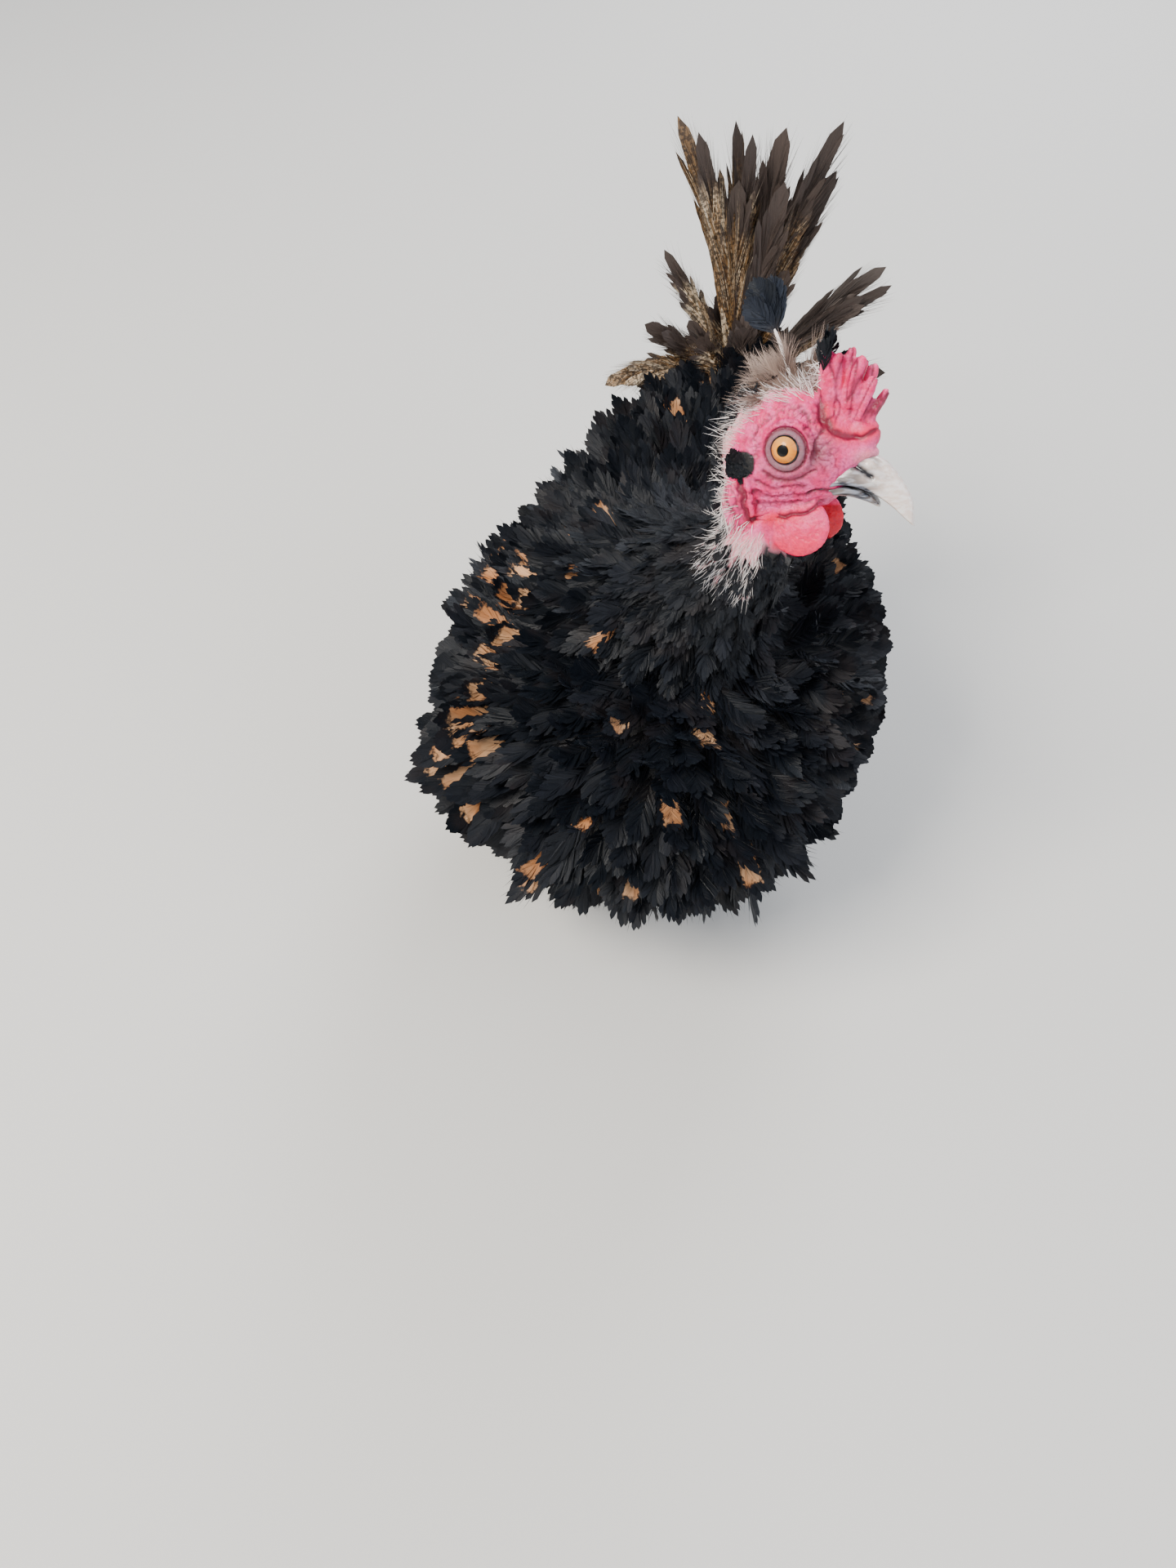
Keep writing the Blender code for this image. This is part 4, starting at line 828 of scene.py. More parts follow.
def plume_mesh(name, chunks):
    """One joined mesh from chunks of points, triangles, marks and patches."""
    offsets = np.cumsum([0] + [len(chunk[0]) for chunk in chunks[:-1]])
    points = np.concatenate([chunk[0] for chunk in chunks])
    triangles = np.concatenate([chunk[1] + offset for chunk, offset in zip(chunks, offsets)]).astype(np.int32)
    marks = np.concatenate([chunk[2] for chunk in chunks])
    patches = np.concatenate([chunk[3] for chunk in chunks])
    mesh = bpy.data.meshes.new(name)
    mesh.vertices.add(len(points))
    mesh.vertices.foreach_set("co", points.ravel())
    mesh.loops.add(triangles.size)
    mesh.loops.foreach_set("vertex_index", triangles.ravel())
    mesh.polygons.add(len(triangles))
    mesh.polygons.foreach_set("loop_start", np.arange(0, triangles.size, 3, dtype=np.int32))
    mesh.update(calc_edges=True)
    add_attribute(mesh, "plume", "FLOAT_COLOR", marks)
    uvs = mesh.uv_layers.new(name="OFBake")
    uvs.data.foreach_set("uv", patches[triangles.ravel()].ravel())
    return mesh


def dress(name, template_list, spec, material, slot, replaced=()):
    """Feathers as one or more joined pieces under the triangle limit. The first one replaces the nodes."""
    spec["patch"] = free_patches(unwrap(spec["root"]))
    n = len(spec["root"])
    most = PIECE_TRIANGLES // max(len(template[1]) for template in template_list)
    parts = math.ceil(n / most)
    for part in range(parts):
        mine = np.arange(part * n // parts, (part + 1) * n // parts)
        chunks = []
        for k, template in enumerate(template_list):
            chosen = mine[mine % len(template_list) == k]
            if len(chosen):
                chunks.append(plume_batch(template, {key: value[chosen] for key, value in spec.items()}))
        label = name if parts == 1 else f"{name}_{part + 1}"
        mesh = plume_mesh(label, chunks)
        carried(label, mesh, material, slot, *(replaced if part == 0 else ()))
        mesh.set_sharp_from_angle(angle=math.radians(SHARP_ANGLE))


def skin_samples(skin, count, draw):
    """Even random places on the skin with their normals."""
    mesh = skin.data
    points, normals = vertex_places(mesh), vertex_normals(mesh)
    corners = np.empty(len(mesh.loops), dtype=np.int32)
    mesh.loops.foreach_get("vertex_index", corners)
    triangles = corners.reshape(-1, 3)
    a, b, c = (points[triangles[:, i]] for i in range(3))
    area = np.linalg.norm(np.cross(b - a, c - a), axis=1)
    chosen = draw.choice(len(triangles), count, p=area / area.sum())
    u, v = draw.random(count), draw.random(count)
    flip = u + v > 1
    u[flip], v[flip] = 1 - u[flip], 1 - v[flip]
    w = 1 - u - v
    mix = np.stack([w, u, v], 1)[..., None]
    at = (points[triangles[chosen]] * mix).sum(1)
    out = unit((normals[triangles[chosen]] * mix).sum(1))
    return at, out


def thinned(points, spacing):
    """Indices of points that keep at least their spacing from those chosen before them."""
    cell = float(spacing.max())
    grid, kept = {}, []
    cells = np.floor(points / cell).astype(int)
    for i, (p, key) in enumerate(zip(points.tolist(), cells.tolist())):
        near = spacing[i] ** 2
        crowded = False
        for dx in (-1, 0, 1):
            for dy in (-1, 0, 1):
                for dz in (-1, 0, 1):
                    for q in grid.get((key[0] + dx, key[1] + dy, key[2] + dz), ()):
                        if (p[0] - q[0]) ** 2 + (p[1] - q[1]) ** 2 + (p[2] - q[2]) ** 2 < near:
                            crowded = True
        if not crowded:
            grid.setdefault(tuple(key), []).append(p)
            kept.append(i)
    return np.array(kept)


FACE_MIDDLE = (-1, 0, -12)
THROAT = Vector((22, -38, 238))
# The coat's feathers in millimetres: each measure at the face's edge, and how much more on the body.
COAT_SPACING, COAT_LENGTH, COAT_WIDTH = (2.1, 3.8), (9.5, 30), (4.2, 10.6)
COAT_SUNK, COAT_THICK = (1.2, 2.0), (0.20, 0.28)
COAT_PIECES = ("hackle_feathers", "breast_feathers", "back_feathers", "right_side_feathers",
               "left_side_feathers")
HACKLE, BREAST, BACK, RIGHT_SIDE, LEFT_SIDE = range(5)
# The deep hollow before the right shoulder, where the feathers are painted darkest as painted shade for the
# shadow under the head and hackle: middle and half sizes.
HOLLOW_AT, HOLLOW_SIZE = (-34, -30, 163), (26, 24, 22)


def coat_measures(points):
    """How far out from the face each place is, as a share from 0 at its edge to 1 on the body."""
    h = moved(HEAD_MM.inverted(), points)
    away = np.linalg.norm((h - np.array(FACE_MIDDLE)) * np.array((1, 0.8, 1)), axis=1)
    return ease(24, 108, away), h


def coat_lie(points):
    """The way the feathers point: away from the throat, and back along the body."""
    source = np.array(body_frame @ (THROAT * MM))
    away = unit(points - source)
    c = moved(BODY_MM.inverted(), points)
    back = ease(-60, 60, c[:, 1])[:, None] * np.array((0.0, 0.9, -0.1))
    return unit(away + back)


def grown(measure, far):
    at_face, more = measure
    return at_face + more * far


def coat_lengths(far, c, h, out, under, draw):
    """Lengths in millimetres: short at the face and the tail's foot, longest low on the right side."""
    x, y, z = c.T
    length = grown(COAT_LENGTH, far) * draw.uniform(0.86, 1.14, len(c))
    length *= 1 - 0.12 * ease(0.2, 0.8, -out[:, 2])
    front = ease(-30, -70, y)
    low_right = 0.42 * ease(10, -60, y) * ease(-20, -56, x) * ease(150, 110, z)
    length *= 1 + low_right + 0.12 * front * ease(15, 40, x)
    length *= 1 - 0.16 * front * groove(x + 6, 24) - 0.28 * ease(-70, -30, y) * ease(30, 56, x)
    length *= np.where(under & (h[:, 2] > -46), 0.55, 1.0)
    from_tail = np.linalg.norm(c - np.array(TAIL_AT), axis=1)
    length *= 1 - 0.35 * groove(from_tail / 42, 1.0)
    return length


def tan_shares(far, c, draw):
    """How tan each feather's centre is: often on the right side and low in front, seldom elsewhere."""
    x, y, z = c.T
    chance = 0.04 + 0.44 * ease(-34, -66, x) + 0.08 * ease(40, 60, x) + 0.12 * ease(40, 100, y)
    chance += 0.30 * ease(0, -40, x) * ease(130, 100, z) * ease(0, -60, y)
    return np.where(draw.random(len(c)) < chance * ease(0.5, 0.8, far), draw.uniform(0.6, 1, len(c)), 0)


def coat_region(far, c, out):
    """The piece of the coat that each feather belongs to."""
    side = (out[:, 2] < 0.45) & (abs(c[:, 0]) > 46)
    back = (c[:, 1] > 40) | ((out[:, 2] > 0.3) & (c[:, 1] > -10) & ~side)
    flank = np.where(c[:, 0] < 0, RIGHT_SIDE, LEFT_SIDE)
    return np.where(far < 0.35, HACKLE, np.where(side, flank, np.where(back, BACK, BREAST)))


def build_coat(skin, material):
    """The frizzled coat: curled feathers all over the body, small at the face and larger down the neck."""
    draw = np.random.default_rng(SEED + 1)
    at, out = skin_samples(skin, 90000, draw)
    far, h = coat_measures(at)
    c = moved(BODY_MM.inverted(), at)
    inside = np.linalg.norm((h - np.array((0, 0, -6))) / np.array((24, 20, 24)), axis=1) < 0.8
    grows = (face_reach(h) > 1.12) & ~inside & (c[:, 2] > 47) & ((h[:, 0] < 12) | (h[:, 2] < -30))
    under = (throat_front(h) > 0.5) & (h[:, 2] < -37) & (c[:, 2] > 200)
    grows |= under
    at, out, far, c, h, under = (v[grows] for v in (at, out, far, c, h, under))
    kept = thinned(at, grown(COAT_SPACING, far) * MM)
    at, out, far, c, h, under = (v[kept] for v in (at, out, far, c, h, under))
    n = len(at)
    rim = ease(0.0, 0.6, out[:, 2] * -1 + 0.15) * ease(0.6, 1.0, far)
    # Painted shade: feathers in the hollow get a darker tone, standing in for the shadow there.
    hollow_painted_shade = groove(np.linalg.norm((c - np.array(HOLLOW_AT)) / np.array(HOLLOW_SIZE), axis=1), 1.0)
    length = coat_lengths(far, c, h, out, under, draw)
    gold = tan_shares(far, c, draw)
    spec = {
        "root": at,
        "lie": coat_lie(at) + draw.normal(0, 0.2, (n, 3)),
        "out": out,
        "length": length * MM,
        "width": grown(COAT_WIDTH, far) * draw.uniform(0.85, 1.15, n) * MM,
        "lift": np.where(under, -6, 0) + 7 + draw.uniform(-3, 6, n)
        + (10 + draw.uniform(-3, 8, n)) * ease(0.2, 0.7, far),
        "curl": draw.uniform(20, 88, n) * (0.15 + 0.85 * ease(0.15, 0.6, far)) * (1 - 0.3 * rim),
        "bend": draw.normal(0, 20, n),
        "twist": draw.normal(0, 22, n),
        "sunk": grown(COAT_SUNK, far) * MM,
        "thick": grown(COAT_THICK, far) * MM,
        "cup": draw.uniform(-0.1, 0.35, n),
        "tone": draw.uniform(-1, 1, n) * (1 - hollow_painted_shade) - 1.2 * hollow_painted_shade,
        "gold": gold,
    }
    # Hackles are narrow and stringy, loose feathers open and curled, vaned ones round and closed.
    hackle = [feather_template(draw, 3, 13, sweep=0.5, ragged=0.5, last=0.6, overlap=0.9, flutter=3.0)
              for _ in range(5)]
    loose = [feather_template(draw, 7, 9, sweep=0.40, ragged=0.45, last=0.70, overlap=1.15, curve=1.5,
                              flutter=5.0) for _ in range(6)]
    vaned = [feather_template(draw, 8, 6, sweep=0.28, ragged=0.06, blunt=0.66, last=0.78, overlap=2.1,
                              flutter=1.2) for _ in range(4)]
    region = coat_region(far, c, out)
    for k, (name, shapes) in enumerate(zip(COAT_PIECES, (hackle, loose, loose, vaned, vaned))):
        mine = np.where(region == k)[0]
        dress(name, shapes, {key: value[mine] for key, value in spec.items()}, material, "feather")


def plain_spec(root, lie, out, draw, **values):
    """Feather measures for a list of places, each value a number, a pair to draw between, or an array."""
    n = len(root)
    spec = {"root": np.array(root), "lie": np.array(lie), "out": np.array(out)}
    base = {"bend": 0.0, "twist": 0.0, "cup": 0.0, "tone": (-1, 1), "gold": 0.0, "sunk": 1.5 * MM}
    for key, value in {**base, **values}.items():
        if isinstance(value, tuple):
            spec[key] = draw.uniform(*value, n)
        else:
            spec[key] = np.broadcast_to(np.array(value, dtype=float), (n,)).copy()
    return spec


def build_tail(material):
    """The tall worn tail: frayed feathers fanned from the rump, and shorter ones round their feet."""
    draw = np.random.default_rng(SEED + 2)
    angle = math.radians(TAIL_RAISE)
    up, left = Vector((0, math.cos(angle), math.sin(angle))), Vector((1, 0, 0))
    front = left.cross(up)
    root, lie, out, length, width, bend, gold, tone = ([] for _ in range(8))
    for fan, depth, reach, breadth, curve, golden in TAIL_FEATHERS:
        for copy in range(2):
            turn = math.radians(fan + copy * draw.uniform(-4, 4))
            way = up * math.cos(turn) + left * math.sin(turn)
            set_back = depth + copy * draw.uniform(-6, 6)
            foot = TAIL_AT + way * TAIL_ROOT - front * set_back * 0.35 + left * draw.uniform(-2, 2)
            root.append(foot * MM + shift)
            lie.append((way - front * math.sin(math.radians(set_back))).normalized())
            out.append(front)
            length.append((reach - TAIL_ROOT + TAIL_SUNK) * (0.84 if copy else 1.0) * MM)
            width.append(breadth * draw.uniform(0.48, 0.76) * MM)
            bend.append(curve)
            gold.append(golden)
            tone.append(draw.uniform(-0.4, 0.4))
    spec = plain_spec(root, lie, out, draw, length=np.array(length), width=np.array(width), lift=(0, 6),
                      curl=(4, 24), bend=np.array(bend), twist=(-40, 40), cup=(0.0, 0.3),
                      sunk=TAIL_SUNK * MM, thick=0.5 * MM, tone=np.array(tone), gold=np.array(gold))
    shapes = [feather_template(draw, 10, 64, sweep=0.38, ragged=1.0, blunt=0.90, widest=0.9, narrow=0.22,
                               root=0.1, last=0.7, turn_at=0.75, curve=1.0, aspect=0.075, overlap=0.30,
                               fine=0.0028, flutter=8.0) for _ in range(6)]
    dress("tail_feathers", shapes, spec, material, "tail", ["tail"])


def build_wing_tiers(material):
    """The wings' longer feathers, in tiers along the lower edge."""
    draw = np.random.default_rng(SEED + 3)
    root, lie, out, length, width = ([] for _ in range(5))
    drop = math.radians(WING_DROP)
    a, b, c = WING_SIZE
    for side in (1, -1):
        turn = Matrix.Rotation(math.radians(WING_PITCH[side]), 4, "X")
        for height, count, reach, breadth in WING_TIERS:
            for k in range(count):
                along = (k + 0.5) / count * 1.5 - 0.8 + draw.uniform(-0.05, 0.05)
                face = math.sqrt(max(1 - along**2 * 0.8 - height**2, 0.05))
                spot = Vector((side * face, along * 0.9, height))
                outward = (turn @ Vector((spot.x / a, spot.y / b, spot.z / c))).normalized()
                place = Vector(WING_AT[side]) + turn @ Vector((spot.x * a, spot.y * b, spot.z * c))
                root.append(place * MM + shift)
                lie.append(turn @ Vector((0, math.cos(drop), math.sin(drop))))
                out.append(outward)
                length.append(reach * (LEFT_WING_SHARE if side > 0 else 1.0) * MM)
                width.append(breadth * MM)
    n = len(root)
    gold = np.where(draw.random(n) < 0.6, draw.uniform(0.6, 1, n), 0.0)
    spec = plain_spec(root, lie, out, draw, length=np.array(length), width=np.array(width), lift=(14, 30),
                      curl=(45, 95), bend=(-14, 14), twist=(-20, 20), cup=(0.0, 0.3), sunk=5 * MM,
                      thick=0.45 * MM, gold=gold)
    shapes = [feather_template(draw, 8, 7, sweep=0.26, ragged=0.08, blunt=0.68, overlap=2.0)
              for _ in range(3)]
    dress("wing_feathers", shapes, spec, material, "feather")


def quill_template():
    """A pin or a strand: a bare shaft, a little fuller in the middle, that narrows to a point."""
    x, y, t = SHAFT[0].T
    size = (1 + 1.2 * t) * (1 - 0.55 * t)
    marks = np.stack([t, np.zeros(len(t)), np.zeros(len(t))], 1)
    return np.stack([t, x * size, y * size], 1), SHAFT[1][:, ::-1], marks


PIN_SPACING = 0.74


def build_pins(skin, material):
    """White pin feathers round the back of the bare face, over the crown and down the throat."""
    draw = np.random.default_rng(SEED + 4)
    at, out = skin_samples(skin, 150000, draw)
    h = moved(HEAD_MM.inverted(), at)
    reach = face_reach(h)
    dense = ease(0.72, 0.98, reach) * ease(1.75, 1.35, reach)
    behind = (h[:, 0] < 10) & (h[:, 2] > -62) & (np.linalg.norm(h[:, :2], axis=1) < 48)
    band = behind & (draw.random(len(h)) < dense * (1 - throat_front(h)) * ease(-62, -38, h[:, 2]))
    at, out, h = at[band], out[band], h[band]
    kept = thinned(at, np.full(len(at), PIN_SPACING * MM))
    at, out, h = at[kept], out[kept], h[kept]
    n = len(at)
    back = np.array(head_frame.to_3x3() @ Vector((-1, 0, 0.1)))
    down = np.array(head_frame.to_3x3() @ Vector((-0.45, 0, -1)))
    lower = ease(-14, -30, h[:, 2])[:, None]
    lie = unit(back * (1 - lower) + down * lower) + draw.normal(0, 0.25, (n, 3))
    longer = 1 + 0.5 * ease(0.9, 1.2, face_reach(h))
    spec = plain_spec(at, lie, out, draw, length=draw.uniform(3.2, 6.8, n) * longer * MM,
                      width=(0.22 * MM, 0.42 * MM), lift=(10, 42), curl=(-45, 45), bend=(-35, 35),
                      thick=0.2 * MM, sunk=0.6 * MM)
    dress("pin_feathers", [quill_template()], spec, material, "crest")


def build_ear_tufts(material):
    """The black bristles over each ear opening."""
    draw = np.random.default_rng(SEED + 6)
    turned = head_frame.to_3x3()
    x, y, z = EAR_TUFT_AT
    for side, name in SIDES:
        root, lie, out = [], [], []
        for _ in range(EAR_BRISTLES):
            radius, angle = EAR_TUFT_REACH * math.sqrt(draw.random()), draw.uniform(0, 2 * math.pi)
            spot = Vector((x + radius * math.cos(angle), side * (y - 0.4 - 0.03 * radius**2),
                           z + radius * math.sin(angle)))
            root.append(HEAD_MM @ spot)
            lie.append(turned @ Vector((-0.7 + 0.2 * math.cos(angle), 0, -0.5 + 0.4 * math.sin(angle))))
            out.append(turned @ Vector((0.1, side, 0)))
        spec = plain_spec(root, lie, out, draw, length=(2.8 * MM, 4.8 * MM), width=(1.6 * MM, 2.6 * MM),
                          lift=(10, 40), curl=(-10, 25), bend=(-30, 30), thick=0.16 * MM, sunk=0.5 * MM)
        shapes = [feather_template(draw, 2, 5, sweep=0.4, ragged=0.3, last=0.6) for _ in range(2)]
        dress(f"ear_bristles_{name}", shapes, spec, material, "feather", [f"ear_tuft_{name}"])


def crown(draw, count, low_x, high_x, spread):
    """Random places over the crown, the ways up and back from them, and the sides that face out."""
    turned = head_frame.to_3x3()
    root, lie, out = [], [], []
    for _ in range(count):
        x, y = draw.uniform(low_x, high_x), draw.uniform(-6, 6)
        root.append(HEAD_MM @ Vector((x, y, 18.4 - 0.05 * y * y - 0.03 * (x - 2) ** 2)))
        lean = math.radians(8 + (9 - x) * 4 + draw.normal(0, spread))
        lie.append(turned @ Vector((-math.sin(lean), y * 0.05 + draw.normal(0, 0.12), math.cos(lean))))
        out.append(turned @ Vector((draw.uniform(-0.6, 0.6), -1, 0)))
    return root, lie, out


def build_crest(down, dark, quill):
    """What is left of the crest: grey-brown down, white pins and one long white quill with a dark vane."""
    draw = np.random.default_rng(SEED + 7)
    strands = plain_spec(*crown(draw, 320, -10, 10, 20), draw, length=(7 * MM, 15 * MM),
                         width=(0.20 * MM, 0.40 * MM), lift=(-14, 14), curl=(-80, 80), bend=(-70, 70),
                         thick=0.14 * MM, sunk=2 * MM)
    dress("crest_down", [quill_template()], strands, down, "crest", ["crest"])
    plumes = plain_spec(*crown(draw, 28, -9, 9, 18), draw, length=(12 * MM, 24 * MM), width=(4 * MM, 8 * MM),
                        lift=(-12, 12), curl=(-50, 50), bend=(-40, 40), twist=(-60, 60), thick=0.3 * MM,
                        sunk=2 * MM)
    shapes = [feather_template(draw, 0, 26, sweep=0.5, ragged=0.6, blunt=0.8, last=0.6, curve=1.2, aspect=0.2,
                               fine=0.010, flutter=9.0) for _ in range(4)]
    dress("crest_plumes", shapes, plumes, down, "crest")
    pins = plain_spec(*crown(draw, 110, -11, 8, 20), draw, length=(4 * MM, 11 * MM),
                      width=(0.4 * MM, 0.7 * MM), lift=(-20, 20), curl=(-30, 30), thick=0.24 * MM,
                      sunk=1 * MM)
    dress("crest_pins", [quill_template()], pins, quill, "crest")
    build_quill(quill)
    build_vanes(draw, dark)


def build_quill(material):
    """The long bare quill, bowed a little forward."""
    rise = QUILL_TOP - QUILL_FOOT
    rows = []
    for share, radius in QUILL_SHAPE:
        bow = Vector((0.5 * math.sin(math.pi * share), 0, 0))
        rows.append((*(QUILL_FOOT + rise * share + bow), radius))
    bm = bmesh.new()
    ring_loft(bm, tube_rings(rows, 14), HEAD_MM)
    outward(bm)
    carried("crest_quill", mesh_of("crest_quill", bm), material, "crest")


def build_vanes(draw, material):
    """The dark vane at the quill's top and the sprigs behind the comb."""
    turned = head_frame.to_3x3()
    rise = QUILL_TOP - QUILL_FOOT
    rows = [(QUILL_TOP - rise * 0.08, rise.normalized() + Vector(lean), *size) for lean, *size in QUILL_VANES]
    rows += [(Vector(foot), Vector(way), *size) for foot, way, *size in COMB_SPRIGS]
    feet, ways, length, width = zip(*rows)
    spec = plain_spec([HEAD_MM @ foot for foot in feet], [turned @ way for way in ways],
                      [turned @ Vector((0, -1, 0))] * len(rows), draw, length=np.array(length) * MM,
                      width=np.array(width) * MM, lift=0.0, curl=(-5, 20), bend=-14.0, cup=0.2,
                      thick=0.3 * MM, sunk=1 * MM)
    shapes = [feather_template(draw, 6, 22, sweep=0.45, ragged=0.2, last=0.66, overlap=1.8) for _ in range(5)]
    dress("crest_feather", shapes, spec, material, "crest")


# Bill, eyes and legs


def bill_rings(rows, count, sides, upper):
    """Rings of half a bill: the upper one is a vault with a flat underside, the lower one a trough."""
    rings = []
    for x, bottom, top, half in smooth_path(rows, count):
        tall, ring = top - bottom, []
        for angle in round_angles(sides):
            rise, aside = math.sin(angle), math.cos(angle)
            if not upper:
                rise = -rise
            z = 0.16 + 0.84 * rise**1.1 if rise > 0 else 0.16 * (1 + rise)
            y = math.copysign(abs(aside) ** 0.8, aside) * half
            ring.append((x, y, bottom + tall * z if upper else top - tall * z))
        rings.append(ring)
    return rings


def build_bill(name, rows, count, sides, material, node):
    """Half of the bill as a fine smooth horn form, with the nostril pressed into the upper one."""
    upper = node == "upper_bill"
    bm = bmesh.new()
    ring_loft(bm, bill_rings(rows, count, sides, upper), Matrix())
    bmesh.ops.triangulate(bm, faces=[face for face in bm.faces if len(face.verts) > 4])
    outward(bm)
    mesh = mesh_of(name, bm)
    h, normals = vertex_places(mesh), vertex_normals(mesh)
    x, y, z = h.T
    edge = z - np.interp(x, [row[0] for row in rows], [row[1] for row in rows])
    mottle = noise_at(h, 3.2, (0.5, 1, 1)) + 0.6 * noise_at(h, 1.3, (0.5, 1, 1), 5)
    if upper:
        side = ease(2.6, 4.4, abs(y))
        slit = groove(line_distance(x, z, NOSTRIL_SLIT), 0.75) * side
        flap = groove(np.hypot(x - NOSTRIL_FLAP[0], (z - NOSTRIL_FLAP[1]) * 1.2), 1.8) * side
        deep = 1.3 * slit - 0.9 * flap + 0.2 * groove(edge - 2.4, 0.6) * ease(14, 18, x) * ease(40, 34, x)
        slate = 0.78 * ease(34, 22, x + 4 * mottle) + 0.95 * ease(2.4, 1.2, edge) * ease(33, 26, x)
        slate = np.clip(slate - 0.6 * flap + 0.12 * mottle * ease(36, 24, x), 0, 1)
        # The slit's share is painted near black in the material: painted shade in the nostril's opening.
        slit = np.clip(slit * 1.8, 0, 1)
        h = h - normals * deep[:, None]
    else:
        slit, slate = np.zeros(len(h)), np.clip(0.9 + 0.3 * mottle - 0.6 * ease(1.2, 0.4, edge), 0, 1)
    add_attribute(mesh, "slate", "FLOAT", slate)
    add_attribute(mesh, "hollow", "FLOAT", slit)
    add_attribute(mesh, "head_place", "FLOAT_VECTOR", h)
    mesh.vertices.foreach_set("co", moved(HEAD_MM, h).ravel())
    carried(name, mesh, material, "horn", node)


def build_eye(side, name, material):
    """An eyeball with a bulging cornea. Its attribute holds each place from the pupil's middle."""
    bm = bmesh.new()
    turn = Matrix.Rotation(math.radians(-90 * side), 4, "X")
    bmesh.ops.create_uvsphere(bm, u_segments=64, v_segments=48, radius=EYE_RADIUS, matrix=turn)
    mesh = mesh_of("eye_" + name, bm)
    local = vertex_places(mesh)
    radius = np.hypot(local[:, 0], local[:, 2])
    front = local[:, 1] * side > 0
    local[:, 1] += side * CORNEA_BULGE * ease(5.4, 2.0, radius) * front
    past_iris = np.where(front, 0.0, 9.0)
    add_attribute(mesh, "iris_place", "FLOAT_VECTOR", np.stack([local[:, 0], past_iris, local[:, 2]], 1))
    places = moved(HEAD_MM, local + np.array((EYE_FORWARD, side * EYE_SIDE, 0)))
    mesh.vertices.foreach_set("co", places.ravel())
    carried("ball_of_eye_" + name, mesh, material, "eye", "eye_" + name)


def scaled_rings(path, sides, scute, flat=None):
    """A tube's rings with a low step at each scute along it, of the given length."""
    rows, gone = [], 0.0
    dense = smooth_path(path, 90)
    for before, row in zip([dense[0]] + dense, dense):
        gone += (Vector(row[:3]) - Vector(before[:3])).length
        step = (gone / scute) % 1.0
        rows.append((*row[:3], row[3] * (1.0 + 0.07 * (1 - step) ** 1.5 - 0.03)))
    return tube_rings(rows, sides, flat)


def build_leg(side, name, skin_material, claw_material):
    """A scaled shank and foot, and its claws."""
    hock, ankle = (Vector((side * v.x, v.y, v.z)) for v in (HOCK, ANKLE))
    bm = bmesh.new()
    shank = [(*hock.lerp(ankle, share), SHANK_R * size) for share, size in SHANK_SHAPE]
    ring_loft(bm, scaled_rings(shank, 20, SHANK_SCUTE), BODY_MM)
    pad = [(ankle.x, ankle.y + ahead, radius * SOLE_LIFT, radius) for ahead, radius in PAD_SHAPE]
    ring_loft(bm, tube_rings(smooth_path(pad, 9), 18, 0.0), BODY_MM)
    claws = bmesh.new()
    for degrees, length in TOES:
        turn = math.radians(degrees * side)
        ahead = Vector((math.sin(turn), -math.cos(turn), 0))
        rows = []
        for share, size in TOE_SHAPE:
            at = Vector((ankle.x, ankle.y, 0)) + ahead * length * share
            rows.append((at.x, at.y, size * TOE_R * SOLE_LIFT, size * TOE_R))
        ring_loft(bm, scaled_rings(rows, 16, TOE_SCUTE, 0.0), BODY_MM)
        curve = []
        for share in (0.0, 0.3, 0.6, 0.85):
            at = Vector((ankle.x, ankle.y, 0)) + ahead * (length * 0.97 + CLAW_LENGTH * share)
            radius = TOE_R * 0.5 * (1 - share * 0.8)
            rise = 2.3 * math.cos(share * math.pi / 2) + radius * 0.4
            curve.append((at.x, at.y, max(rise, radius), radius))
        tip = Vector((ankle.x, ankle.y, 0.4)) + ahead * (length * 0.97 + CLAW_LENGTH)
        ring_loft(claws, tube_rings(smooth_path(curve, 8), 12, 0.0), BODY_MM, tip=tip)
    outward(bm)
    carried("leg_" + name, mesh_of("leg_" + name, bm), skin_material, "leg", "shank_" + name, "foot_" + name)
    outward(claws)
    carried("claws_" + name, mesh_of("claws_" + name, claws), claw_material, "horn")


# Materials


